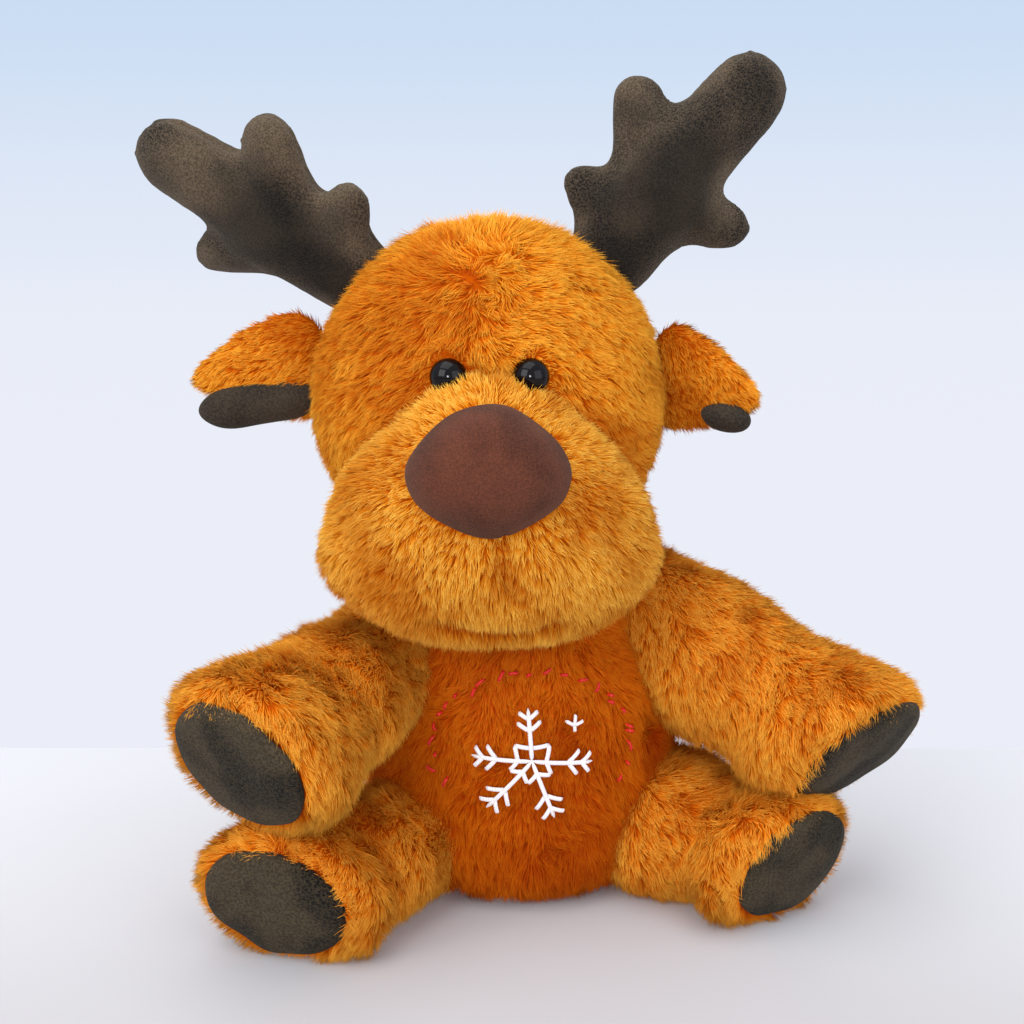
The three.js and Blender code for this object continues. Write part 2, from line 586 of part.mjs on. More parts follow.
for (const antler of antlers) {
  const group = movingGroup(antler.seat, headGroup);
  const blocked = pathOf(cut(headRoom, [antlerRoll(antler, ANTLER_ROOM)]), antler.seat, antler.along, [-ANTLER_FLOP, 0, ANTLER_FLOP]);
  const whole = antlerForm(antler).add(antlerRoll(antler, 0));
  addPiece(group, `${antler.name}_antler`, cut(whole, [blocked]), COLOURS.velour);
}

export default reindeer;
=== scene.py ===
# %% [markdown]
# # A seated plush reindeer
#
# The toy is sewn from long orange-brown plush, with antlers, paw pads, soles and ear linings of short grey-brown
# velour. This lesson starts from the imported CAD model, which fixes every size and every joint, and dresses it:
# first the stuffed skins, then the velour pieces, then the pile that stands on the skins, then floor, light and
# camera. Lengths are in millimetres until a mesh is written, and left and right are the toy's own. Whole numbers
# such as 111 in a call are seeds: each picks one random pattern and gives it again in every run.

import json
import bmesh
import bpy
import numpy as np
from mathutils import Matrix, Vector


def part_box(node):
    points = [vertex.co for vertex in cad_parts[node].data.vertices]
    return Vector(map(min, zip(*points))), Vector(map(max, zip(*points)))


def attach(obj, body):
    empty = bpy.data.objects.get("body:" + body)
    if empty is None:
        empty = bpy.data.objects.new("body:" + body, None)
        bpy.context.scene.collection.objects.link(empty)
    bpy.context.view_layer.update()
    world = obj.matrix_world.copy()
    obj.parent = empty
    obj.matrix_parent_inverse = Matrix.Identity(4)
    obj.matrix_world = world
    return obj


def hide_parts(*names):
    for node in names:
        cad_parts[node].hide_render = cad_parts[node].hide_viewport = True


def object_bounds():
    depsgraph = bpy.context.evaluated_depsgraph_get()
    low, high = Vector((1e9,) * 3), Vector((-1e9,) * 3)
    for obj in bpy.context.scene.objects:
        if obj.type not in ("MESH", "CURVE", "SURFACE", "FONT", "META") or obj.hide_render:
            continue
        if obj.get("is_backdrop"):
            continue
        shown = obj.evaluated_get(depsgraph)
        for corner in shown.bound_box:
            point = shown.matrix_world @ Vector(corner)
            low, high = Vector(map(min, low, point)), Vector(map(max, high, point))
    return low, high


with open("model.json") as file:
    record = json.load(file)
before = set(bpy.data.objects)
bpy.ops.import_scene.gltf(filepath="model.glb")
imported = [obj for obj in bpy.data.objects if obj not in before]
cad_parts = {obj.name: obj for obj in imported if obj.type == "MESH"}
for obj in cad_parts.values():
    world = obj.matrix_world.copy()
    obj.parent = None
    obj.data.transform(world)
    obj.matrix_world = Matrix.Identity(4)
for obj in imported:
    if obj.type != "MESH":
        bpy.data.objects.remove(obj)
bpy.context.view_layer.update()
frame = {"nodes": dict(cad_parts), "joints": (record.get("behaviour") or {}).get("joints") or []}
MM = 0.001
joint_at = {j["name"]: np.array(j["pos_m"]) / MM for j in frame["joints"]}
joint_axis = {j["name"]: np.array(j["axis"], float) for j in frame["joints"]}
SIDES = {"left": 1.0, "right": -1.0}

# %% [markdown]
# Small tools for whole arrays of points. A stuffed form is never perfectly smooth, so `waves` gives a soft
# unevenness as a mean of six sines, which is smooth everywhere and the same in each run.


# %% Tools for arrays of points
def unit(v):
    """Each vector divided by its own length."""
    return v / np.maximum(np.linalg.norm(v, axis=-1, keepdims=True), 1e-9)


def dot(a, b):
    """The dot product of each pair of vectors, kept as a column."""
    return np.sum(a * b, axis=-1, keepdims=True)


def ease(x, low, high):
    """From 0 at low to 1 at high along the curve 3t^2 - 2t^3."""
    t = np.clip((x - low) / (high - low), 0, 1)
    return t * t * (3 - 2 * t)


def ridge(x, width):
    """A bell that is 1 at x = 0 and fades over the given width: exp(-(x / width)^2)."""
    return np.exp(-((x / width) ** 2))


def waves(p, size, seed):
    """Soft noise between about -1 and 1: the mean of six sines in mixed directions, of wave length near size."""
    r = np.random.default_rng(seed)
    turn = unit(r.normal(size=(6, 3))) * (2 * np.pi / size) * r.uniform(0.6, 1.6, (6, 1))
    return np.sin(p @ turn.T + r.uniform(0, 6.28, 6)).mean(-1) * 1.7


def full_turn(count):
    """The angles of a full turn in equal steps, as a row."""
    return np.linspace(0, 2 * np.pi, count, endpoint=False)[None, :]


def box_of(node):
    """A CAD node's lowest and highest corner in millimetres."""
    low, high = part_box(node)
    return np.array(low) / MM, np.array(high) / MM


def middle_of(node):
    """The mean of a CAD node's lowest and highest corner."""
    low, high = box_of(node)
    return (low + high) / 2


print("wave noise at the origin:", round(float(waves(np.zeros((1, 3)), 30, 1)[0]), 3))

# %% [markdown]
# A mesh can be built face by face, but with this many points it is quicker to write it in one go with `foreach_set`.
# Every piece is a mesh at the origin that rides on one body of the frame, so it moves when the joints do.


# %% From arrays to meshes
def put(name, data):
    """A new object that holds the data, linked to the scene."""
    obj = bpy.data.objects.new(name, data)
    bpy.context.scene.collection.objects.link(obj)
    return obj


def set_points(mesh, points):
    """Writes points, given in millimetres, to a mesh in metres."""
    mesh.vertices.foreach_set("co", (points * MM).astype(np.float32).ravel())


def smooth(mesh):
    """Shades all faces as parts of one curved surface."""
    mesh.polygons.foreach_set("use_smooth", np.ones(len(mesh.polygons), bool))


def mark(mesh, name, values):
    """Stores one number for each point, which a material can read."""
    mesh.attributes.new(name, "FLOAT", "POINT").data.foreach_set("value", values.astype(np.float32).ravel())


def piece(name, points, faces, body, finish):
    """A mesh object from points in millimetres and faces of equal corner count, riding on a body."""
    mesh = bpy.data.meshes.new(name)
    corners = faces.shape[1]
    mesh.vertices.add(len(points))
    set_points(mesh, points)
    mesh.loops.add(faces.size)
    mesh.loops.foreach_set("vertex_index", faces.astype(np.int32).ravel())
    mesh.polygons.add(len(faces))
    mesh.polygons.foreach_set("loop_start", np.arange(0, faces.size, corners, dtype=np.int32))
    smooth(mesh)
    mesh.update(calc_edges=True)
    obj = put(name, mesh)
    obj.data.materials.append(finish)
    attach(obj, body)
    return obj


# %% [markdown]
# A closed skin is a grid that wraps round in one direction and ends in a point at both ends of the other, so its
# faces follow from the counts alone. The points that repeat at each end are merged. The same grid later tells where
# the fibres stand, which is why the skins are grids and not sculpted meshes.

# %% Grids
TABLE_GAP = 0.3


def grid_faces(rows, around):
    """Quads between neighbouring rows of a grid whose last column joins its first."""
    at = np.arange(rows * around).reshape(rows, around)
    low, high = at[:-1], at[1:]
    return np.stack([low, np.roll(low, -1, 1), np.roll(high, -1, 1), high], -1).reshape(-1, 4)


def grid_normals(grid):
    """The cross product of the steps round and along a grid; the end rows take the mean of their neighbours."""
    round_step = np.roll(grid, -1, 1) - np.roll(grid, 1, 1)
    along_step = np.gradient(grid, axis=0)
    normal = unit(np.cross(round_step, along_step))
    normal[0] = unit(normal[1].mean(0))
    normal[-1] = unit(normal[-2].mean(0))
    return normal


def globe(rows, around):
    """Unit vectors on a grid: the angle v runs from the south pole to the north pole, u runs round."""
    v = np.linspace(0, np.pi, rows)[:, None]
    u = full_turn(around)
    return np.stack([np.sin(v) * np.cos(u), np.sin(v) * np.sin(u), -np.cos(v) + 0 * u], -1)


def pushed(grid, far):
    """A grid with each point moved along its normal by its own number in far."""
    return grid + grid_normals(grid) * far[..., None]


def pinched(grid):
    """Draws each end row of a grid together to the mean of its points."""
    grid[0], grid[-1] = grid[0].mean(0), grid[-1].mean(0)
    return grid


def above_table(points):
    """Lifts points that would sink into the table to just above it."""
    points[..., 2] = np.maximum(points[..., 2], TABLE_GAP)
    return points


print("faces of a grid of 3 rows of 4:", len(grid_faces(3, 4)))


# %% Closed skins
def close_ends(obj):
    """Merges the points that a grid repeats at its two ends and turns all faces outwards."""
    work = bmesh.new()
    work.from_mesh(obj.data)
    bmesh.ops.remove_doubles(work, verts=work.verts, dist=1e-6)
    bmesh.ops.recalc_face_normals(work, faces=work.faces)
    work.to_mesh(obj.data)
    work.free()
    smooth(obj.data)


def skin(name, grid, body, finish, nodes):
    """A closed skin from a grid of points; it stands for the CAD nodes."""
    obj = piece(name, grid.reshape(-1, 3), grid_faces(*grid.shape[:2]), body, finish)
    close_ends(obj)
    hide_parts(*nodes)
    print(f"{name}: {len(obj.data.polygons)} faces for {', '.join(nodes)}")
    return obj


print("points of a globe of 3 rows of 4:", globe(3, 4).shape[:2])

# %% [markdown]
# ## Finishes
#
# Four cloths make the toy: long plush, short velour, the woven back of the plush and embroidery thread. A photograph
# could be wrapped round them, but it would bring its own light with it. So each finish is worked out by nodes, and
# what several finishes share is a node group that is built once.


# %% Node helpers
def paint(red, green, blue):
    """A colour from screen values of 0 to 255, made linear."""
    c = np.array([red, green, blue]) / 255
    c = np.where(c <= 0.04045, c / 12.92, ((c + 0.055) / 1.055) ** 2.4)
    return (*c.tolist(), 1.0)


def feed(tree, made, feeds):
    """Links or sets the named inputs of a node."""
    for key, value in feeds.items():
        if isinstance(value, bpy.types.NodeSocket):
            tree.links.new(value, made.inputs[key])
        else:
            made.inputs[key].default_value = value
    return made


def node(tree, kind, feeds=None, **settings):
    """A shader node with its settings made and its inputs linked or set."""
    made = tree.nodes.new(kind)
    for key, value in settings.items():
        setattr(made, key, value)
    return feed(tree, made, feeds or {})


print("a middle grey, made linear:", round(paint(128, 128, 128)[0], 3))


# %% Steps that materials share
def mixed(tree, share, first, second, blend="MIX"):
    """first and second blended by share."""
    return node(tree, "ShaderNodeMix", {0: share, 6: first, 7: second}, data_type="RGBA", blend_type=blend).outputs[2]


def eased(tree, value, low, high):
    """value brought from low..high to 0..1 along a smooth curve."""
    return node(tree, "ShaderNodeMapRange", {"Value": value, "From Min": low, "From Max": high},
                interpolation_type="SMOOTHSTEP").outputs[0]


def sums(tree, operation, first, second=0.0):
    """One step of arithmetic on one or two values."""
    return node(tree, "ShaderNodeMath", {0: first, 1: second}, operation=operation).outputs[0]


def attribute(tree, name):
    """A number that the mesh stores for each of its points."""
    return node(tree, "ShaderNodeAttribute", attribute_name=name).outputs["Fac"]


print("materials so far:", len(bpy.data.materials))


# %% Groups and materials
def group(name, feeds, gives):
    """A node group with named inputs and outputs, each given as name: socket type."""
    tree = bpy.data.node_groups.new(name, "ShaderNodeTree")
    for key, kind in feeds.items():
        tree.interface.new_socket(key, in_out="INPUT", socket_type=kind)
    for key, kind in gives.items():
        tree.interface.new_socket(key, in_out="OUTPUT", socket_type=kind)
    return tree, tree.nodes.new("NodeGroupInput").outputs, tree.nodes.new("NodeGroupOutput").inputs


def new_material(name):
    """A material, its node tree and its surface shader."""
    material = bpy.data.materials.new(name)
    material.use_nodes = True
    return material, material.node_tree, material.node_tree.nodes["Principled BSDF"]


COLOUR, NUMBER = "NodeSocketColor", "NodeSocketFloat"
print("socket types:", COLOUR, NUMBER)

# %% [markdown]
# The plush changes its colour along each fibre, from a deep red-brown root to a golden tip, and from lock to lock.
# Both are attributes of the fibre, so a small group mixes three colours by them. Light that passes from fibre to
# fibre takes very many bounces to work out. A faint sheen in the colour of the tips and a very faint red glow stand
# for it.

# %% Colour along a plush fibre
DEEP_TINT = (0.7, 0.5, 0.3, 1)
fibre_colour, fed, given = group(
    "fibre_colour",
    {"Shade": NUMBER, "Along": NUMBER, "Root": COLOUR, "Middle": COLOUR, "Tip": COLOUR},
    {"Colour": COLOUR})
lower = mixed(fibre_colour, eased(fibre_colour, fed["Along"], 0.05, 0.55), fed["Root"], fed["Middle"])
whole = mixed(fibre_colour, eased(fibre_colour, fed["Along"], 0.4, 1.0), lower, fed["Tip"])
deep = mixed(fibre_colour, 1.0, whole, DEEP_TINT, "MULTIPLY")
lit = eased(fibre_colour, fed["Shade"], 0.0, 0.8)
fibre_colour.links.new(mixed(fibre_colour, lit, deep, whole), given["Colour"])
print("group:", fibre_colour.name)

# %% Plush
FIBRE_GLOW, GLOW_STRENGTH = (1.0, 0.16, 0.0, 1), 0.03


def plush(name, root, middle, tip):
    """Pile fibres: root, middle and tip colour mixed along the fibre, with a sheen and a glow of passed-on light."""
    material, tree, shader = new_material(name)
    mix = node(tree, "ShaderNodeGroup",
               {"Shade": attribute(tree, "shade"), "Along": attribute(tree, "along"),
                "Root": root, "Middle": middle, "Tip": tip}, node_tree=fibre_colour)
    feed(tree, shader, {"Base Color": mix.outputs["Colour"], "Roughness": 0.72, "Specular IOR Level": 0.05,
                        "Sheen Weight": 0.05, "Sheen Tint": tip,
                        "Emission Color": FIBRE_GLOW, "Emission Strength": GLOW_STRENGTH})
    return material


head_plush = plush("plush_of_head", paint(172, 66, 2), paint(214, 116, 7), paint(242, 178, 60))
muzzle_plush = plush("plush_of_muzzle", paint(172, 76, 6), paint(212, 128, 17), paint(240, 188, 80))
belly_plush = plush("plush_of_belly", paint(164, 56, 1), paint(186, 78, 3), paint(208, 114, 16))
limb_plush = plush("plush_of_limbs", paint(174, 64, 2), paint(216, 112, 6), paint(244, 178, 66))
print("plush finishes:", [m.name for m in (head_plush, muzzle_plush, belly_plush, limb_plush)])

# %% [markdown]
# Velour has a nap too short to build as fibres. A fine noise gives its single hairs, in colour and as a bump, and a
# wide noise gives the light and dark patches that a hand leaves on short pile. Where a piece stores its wear and a
# painted rim light, the light patches follow that.

# %% Short nap of the velour
short_nap, fed, given = group(
    "short_nap", {"Dark": COLOUR, "Light": COLOUR, "Nap": NUMBER, "Patch": NUMBER, "Wear_and_rim_light": NUMBER},
    {"Colour": COLOUR, "Height": NUMBER})
place = node(short_nap, "ShaderNodeTexCoord").outputs["Object"]
hairs = node(short_nap, "ShaderNodeTexNoise",
             {"Vector": place, "Scale": fed["Nap"], "Detail": 3.0, "Roughness": 0.7}).outputs[0]
brushed = node(short_nap, "ShaderNodeTexNoise",
               {"Vector": place, "Scale": fed["Patch"], "Detail": 1.0, "Distortion": 0.3}).outputs[0]
cloud = eased(short_nap, brushed, 0.36, 0.64)
grain = eased(short_nap, hairs, 0.4, 0.6)
half = node(short_nap, "ShaderNodeMix", {0: 0.55, 2: cloud, 3: grain}).outputs[0]
# The light share follows the piece's wear and painted rim light, where it stores them.
share = sums(short_nap, "MULTIPLY", half, fed["Wear_and_rim_light"])
short_nap.links.new(mixed(short_nap, share, fed["Dark"], fed["Light"]), given["Colour"])
short_nap.links.new(hairs, given["Height"])
print("group:", short_nap.name)

# %% Velour
NAP_LIFT = 0.0006
NAP_TINT = (0.86, 0.78, 0.66, 1)


def velour(name, dark, light, sheen, nap=1300.0, patch=42.0, gloss=0.2, wear_and_rim_light=None):
    """Short velour: mottled colour, a bump of single hairs and a pale edge; wear_and_rim_light names the attribute
    that holds its wear and its painted rim light.
    """
    material, tree, shader = new_material(name)
    nap_of = node(tree, "ShaderNodeGroup",
                  {"Dark": dark, "Light": light, "Nap": nap, "Patch": patch,
                   "Wear_and_rim_light": attribute(tree, wear_and_rim_light) if wear_and_rim_light else 1.0}, node_tree=short_nap)
    bump = node(tree, "ShaderNodeBump", {"Height": nap_of.outputs["Height"], "Strength": 0.9, "Distance": NAP_LIFT})
    feed(tree, shader, {"Base Color": nap_of.outputs["Colour"], "Normal": bump.outputs[0], "Roughness": 0.9,
                        "Specular IOR Level": gloss, "Sheen Weight": sheen, "Sheen Roughness": 0.45,
                        "Sheen Tint": NAP_TINT})
    return material


antler_velour = velour("velour_of_antlers", paint(3, 3, 3), paint(94, 80, 64), 0.12, nap=1600.0, wear_and_rim_light="wear_and_rim_light")
pad_velour = velour("velour_of_pads", paint(2, 2, 2), paint(70, 60, 44), 0.03, patch=50.0)
lining_velour = velour("velour_of_ear_linings", paint(24, 20, 16), paint(64, 54, 43), 0.05)
nose_velour = velour("velour_of_nose", paint(58, 28, 18), paint(96, 52, 36), 0.08, nap=1700.0, patch=60.0)
cloth_back = velour("woven_back_of_plush", paint(150, 60, 3), paint(170, 74, 6), 0.0, nap=1100.0, gloss=0.0)
print("velour finishes:", [m.name for m in (antler_velour, pad_velour, lining_velour, nose_velour, cloth_back)])

# %% [markdown]
# The eyes are polished plastic, and the washers that hold them inside are dull plastic. One rule gives both, since
# only colour, roughness and gloss differ. Embroidery thread is twisted, so it shows fine stripes across its run. The
# stripes are a sine of the way along each stitch.


# %% Eyes, washers and thread
def moulded(name, dark, light, rough, scale, gloss):
    """A moulding: a fine cloud in colour and roughness, as a polished or a dull plastic shows."""
    material, tree, shader = new_material(name)
    place = node(tree, "ShaderNodeTexCoord").outputs["Object"]
    cloud = node(tree, "ShaderNodeTexNoise", {"Vector": place, "Scale": scale, "Detail": 3.0}).outputs[0]
    dull = node(tree, "ShaderNodeMapRange", {"Value": cloud, "To Min": rough * 0.7, "To Max": rough * 1.3}).outputs[0]
    feed(tree, shader, {"Base Color": mixed(tree, cloud, dark, light), "Roughness": dull,
                        "Specular IOR Level": gloss})
    return material


TWISTS, TWIST_LIFT = 13.0, 0.0002


def thread(name, dark, light, sheen):
    """Embroidery thread: two colours and a bump mixed by the sine of the way along the stitch in millimetres."""
    material, tree, shader = new_material(name)
    twist = sums(tree, "SINE", sums(tree, "MULTIPLY", attribute(tree, "run"), TWISTS))
    share = node(tree, "ShaderNodeMapRange", {"Value": twist, "From Min": -1.0, "From Max": 1.0}).outputs[0]
    bump = node(tree, "ShaderNodeBump", {"Height": share, "Strength": 0.6, "Distance": TWIST_LIFT})
    feed(tree, shader, {"Base Color": mixed(tree, share, dark, light), "Normal": bump.outputs[0], "Roughness": 0.5,
                        "Sheen Weight": sheen})
    return material


eye_gloss = moulded("polished_eye", paint(3, 5, 9), paint(20, 11, 7), 0.04, 200.0, 0.2)
washer_plastic = moulded("washer_plastic", paint(222, 218, 208), paint(236, 233, 226), 0.5, 300.0, 0.4)
white_thread = thread("white_thread", paint(206, 202, 206), paint(245, 243, 246), 0.2)
red_thread = thread("red_thread", paint(170, 8, 2), paint(214, 26, 6), 0.0)
print("plastics and threads:", [m.name for m in (eye_gloss, washer_plastic, white_thread, red_thread)])

# %% [markdown]
# ## Torso
#
# The torso is one stuffed bag: broad and almost flat below, round at the belly, drawn in to the neck. It could be
# sculpted, but a turned profile is exact and short: the radius is a function of height, and the grid turns it round.
# Above the belly the profile is the larger of the torso's and the neck ball's, blended by a sixth-power mean.

# %% Torso profile
TORSO_GIRTH, TORSO_TOP, BELLY = 55.0, 130.0, 48.0
TORSO_FLAT = 51.0 / 55.0
LEAN = 4.0
NECK = joint_at["head_nod"]
NECK_RADIUS = 33.0
NECK_TOP = NECK[2] + NECK_RADIUS


def torso_radius(z):
    """The sixth-power mean of the belly's ellipse and the neck's circle at a height; below, a squarer curve."""
    above = np.sqrt(np.clip(1 - ((z - BELLY) / (TORSO_TOP - BELLY)) ** 2, 0, 1)) * TORSO_GIRTH
    neck = np.sqrt(np.clip(NECK_RADIUS**2 - (z - NECK[2]) ** 2, 0, None))
    below = TORSO_GIRTH * np.clip(1 - (np.clip(BELLY - z, 0, BELLY) / BELLY) ** 4, 0, 1) ** 0.25
    return np.where(z < BELLY, below, (above**6 + neck**6) ** (1 / 6))


def torso_middle(z):
    """The axis leans forward at the belly by a half sine and slides over to the neck joint."""
    over = ease(z, 80, 118)
    lean = -LEAN * np.sin(np.pi * np.clip(z, 0, TORSO_TOP) / TORSO_TOP)
    return NECK[0] * over, lean * (1 - over) + NECK[1] * over


print("torso radius at the belly:", round(float(torso_radius(BELLY)), 1), "mm")

# %% Torso skin
SKIN_INSET = 1.5


def torso_grid(rows, around, inset):
    """Heights by a cosine law, a squarer one below; each row is an ellipse about the axis, dented by waves."""
    turn = -np.cos(np.linspace(0, np.pi, rows))
    z = np.where(turn < 0, BELLY - BELLY * np.sqrt(np.abs(turn)), BELLY + (NECK_TOP - BELLY) * turn)
    z, u = z[:, None], full_turn(around)
    radius = np.maximum(torso_radius(z) - inset * (z > 2), 0)
    middle_x, middle_y = torso_middle(z)
    p = np.stack([middle_x + radius * np.cos(u), middle_y + radius * TORSO_FLAT * np.sin(u), z + 0 * u], -1)
    p = pushed(p, waves(p, 46, 11) * 0.9 * (p[..., 2] > 4))
    p[..., 2] = np.clip(p[..., 2], inset * 0.2, NECK_TOP - inset)
    return pinched(p)


torso = torso_grid(72, 96, SKIN_INSET)
skin("torso_skin", torso, "torso", cloth_back, ("torso_cover", "torso_filling", "pellet_pouch"))

# %% [markdown]
# ## Head
#
# The head is an egg of cloth with a seam down its forehead, which parts the pile, and two low folds above the eyes.
# A stock sphere with a sculpted brow would do. A sphere whose coordinates are stretched and pushed by rules does the
# same with a few numbers, and it gives the place of each fibre as well.

# %% Head
head_low, head_high = box_of("head_cover")
HEAD_HALF = np.array([60.5, 53.0, 61.0])
MIDDLE_OF_FACE = middle_of("nose")[0]
HEAD = np.array([(head_low[0] + head_high[0]) / 2, NECK[1] - 3, head_high[2] - HEAD_HALF[2]])
BROW_HEIGHT, BROW_LIFT, PARTING_DEPTH = 22.5, 2.4, 0.5


def parting(p):
    """1 along the forehead seam and down the back of the head, fading to both sides."""
    aside = p[..., 0] - HEAD[0] - 0.5 * np.sin(p[..., 2] / 9)
    return ridge(aside, 2.2) * ease(p[..., 2], HEAD[2] + 14, HEAD[2] + 26)


def brow(p):
    """1 on two low folds above the eyes, which droop to the sides."""
    side = p[..., 0] - MIDDLE_OF_FACE
    lift = p[..., 2] - HEAD[2] - BROW_HEIGHT + 0.012 * side**2
    return ridge(lift, 4.5) * ease(-np.abs(side), -30, -16) * (p[..., 1] < HEAD[1])


def head_grid(rows, around, inset):
    """An egg: the unit sphere times the half sizes, dented along the parting, raised at the brow, uneven by waves."""
    p = globe(rows, around) * (HEAD_HALF - inset) + HEAD
    return pinched(pushed(p, waves(p, 60, 21) * 0.8 - PARTING_DEPTH * parting(p) + BROW_LIFT * brow(p)))


head = head_grid(84, 120, SKIN_INSET)
skin("head_skin", head, "head", cloth_back, ("head_cover", "head_filling"))

# %% [markdown]
# ## Muzzle
#
# The muzzle is a second bag sewn to the front of the head, narrow under the eyes and heavy at the jowls, with a
# crease below the nose and a fold for the mouth. It is a sphere again: its width follows the height, and its upper
# and lower halves are squarer than a circle. Folds are pressed into the form itself, since pile that only changes
# colour there would look flat from the side.

# %% Muzzle
muzzle_low, muzzle_high = box_of("muzzle_cover")
MUZZLE_HALF = np.array([59.0, 37.0, 44.0])
MUZZLE = np.array([(muzzle_low[0] + muzzle_high[0]) / 2, HEAD[1] - 43, HEAD[2] - 31])
MUZZLE_TOP = 36.0
MOUTH = MUZZLE[2] - 34.5
MOUTH_DEPTH, BRIDGE_LIFT, CREASE_SHARE = 4.5, 1.5, 0.7


def mouth_line(p):
    """1 in the mouth fold, an arc that rises to both sides; less in the short slanted crease below the nose."""
    side = p[..., 0] - MUZZLE[0] - 2
    rise = p[..., 2] - MOUTH
    front = ease(-p[..., 1], 55, 66)
    fold = ridge(rise - 0.012 * side**2, 2.4) * ease(-np.abs(side), -24, -15)
    crease = ridge(side - 9.4 + 0.23 * rise, 3.4) * ease(rise, 10, 18) * ease(-rise, -40, -32)
    return np.maximum(fold, CREASE_SHARE * crease) * front


def muzzle_grid(rows, around, inset):
    """A sphere, narrowed upwards by an eased curve, with heights by a power; folds are dents, the bridge a hump."""
    g = globe(rows, around)
    narrow = ease(g[..., 2], -0.55, 0.95)
    width = (MUZZLE_HALF[0] - inset) * (1 - narrow) + (MUZZLE_TOP - inset) * narrow
    rise = np.sign(g[..., 2]) * np.abs(g[..., 2]) ** np.where(g[..., 2] < 0, 0.82, 0.84)
    depth, height = MUZZLE_HALF[1] - inset, MUZZLE_HALF[2] - inset
    p = np.stack([g[..., 0] * width, g[..., 1] * depth, rise * height], -1) + MUZZLE
    bridge = ridge(p[..., 0] - MIDDLE_OF_FACE, 30) * ease(g[..., 2], 0.55, 0.9)
    return pinched(pushed(p, waves(p, 50, 31) * 0.7 - MOUTH_DEPTH * mouth_line(p) + BRIDGE_LIFT * bridge))


muzzle = muzzle_grid(84, 120, SKIN_INSET)
skin("muzzle_skin", muzzle, "head", cloth_back, ("muzzle_cover", "muzzle_filling"))

# %% [markdown]
# ## Nose and eyes
#
# The nose is a firm stuffed shield of dark velour with a seam down its lower half: a sphere, drawn in above and
# below. The eyes are polished plastic buttons, set so deep that the muzzle's pile overlaps their lower edges. Each
# eye is a half egg turned about the way it looks; a stock sphere would have no rim where the button meets the cloth.

# %% Nose
NOSE_HALF = np.array([25.5, 17.0, 20.5])
SEAM_DEPTH = 0.8
NOSE = np.array([middle_of("nose")[0], box_of("nose")[0][1] + NOSE_HALF[1], middle_of("nose")[2]])
g = globe(56, 72)
draw = (1 - 0.16 * ease(g[..., 2], -0.1, 0.8)) * (1 - 0.14 * ease(-g[..., 2], 0.4, 1))
nose = np.stack([g[..., 0] * draw, g[..., 1], g[..., 2]], -1) * NOSE_HALF + NOSE
seam = ridge(nose[..., 0] - NOSE[0] - 2.5 + 0.12 * (nose[..., 2] - NOSE[2]), 0.8) * ease(-g[..., 2], -0.2, 0.2)
nose = pinched(pushed(nose, waves(nose, 24, 41) * 0.35 - SEAM_DEPTH * seam))
skin("nose_pad", nose, "head", nose_velour, ("nose",))

# %% Eyes
EYE_RADIUS, EYE_DOME, EYE_REACH = 6.0, 5.2, 6.0
EYES = {}
for side in SIDES:
    low, high = box_of(f"{side}_eye")
    seat = np.array([(low[0] + high[0]) / 2, low[1] + EYE_REACH, (low[2] + high[2]) / 2])
    EYES[side] = seat
    v = np.linspace(-0.5, np.pi / 2, 24)[:, None]
    u = full_turn(48)
    rim = np.where(v < 0, np.cos(v * 2), np.cos(v)) * EYE_RADIUS
    dome = seat[1] - EYE_DOME * np.sin(v) + 0 * u
    button = np.stack([seat[0] + rim * np.cos(u), dome, seat[2] + rim * np.sin(u)], -1)
    button = np.concatenate([button[:1] * 0 + button[:1].mean((0, 1)), button])
    button[-1] = button[-1].mean(0)
    skin(f"{side}_eye_button", button, "head", eye_gloss, (f"{side}_eye",))
    frame["nodes"][f"{side}_eye_washer"].data.materials.clear()
    frame["nodes"][f"{side}_eye_washer"].data.materials.append(washer_plastic)

# %% [markdown]
# ## Arms and legs
#
# A limb is a tube of plush that starts in a ball inside the torso and swells to a paw, closed by a velour pad. It is
# a profile carried along a straight axis, from the joint to the middle of the pad, so both ends come from the frame.
# The legs lie on the table: their section is flatter and the sole leans back.

# %% Limb sizes and profile
# Each limb's tone is painted light: it makes the pile lighter, the arms' much more than the legs', against the head's
# shade on the arms.
ARM = {"ball": 23.0, "end": 26.5, "reach": 95.0, "round": 12.0, "flat": 1.0, "pad": 23.0, "cover": "paw_pad",
       "tone": 0.22}
LEG = {"ball": 24.0, "end": 26.0, "tilt": 14.0, "round": 11.0, "flat": 0.86, "pad": 22.5, "cover": "sole_pad",
       "tone": 0.05}
LIMBS = {
    "left_arm": {**ARM, "tilt": 16.0, "turn": 12.0, "full": 3.0},
    "right_arm": {**ARM, "tilt": 20.0, "turn": 5.0, "full": -2.5},
    "left_leg": {**LEG, "reach": 71.0, "turn": 10.0, "full": 5.0},
    "right_leg": {**LEG, "reach": 76.0, "turn": -18.0, "full": -1.5},
}
CROWN = 2.0


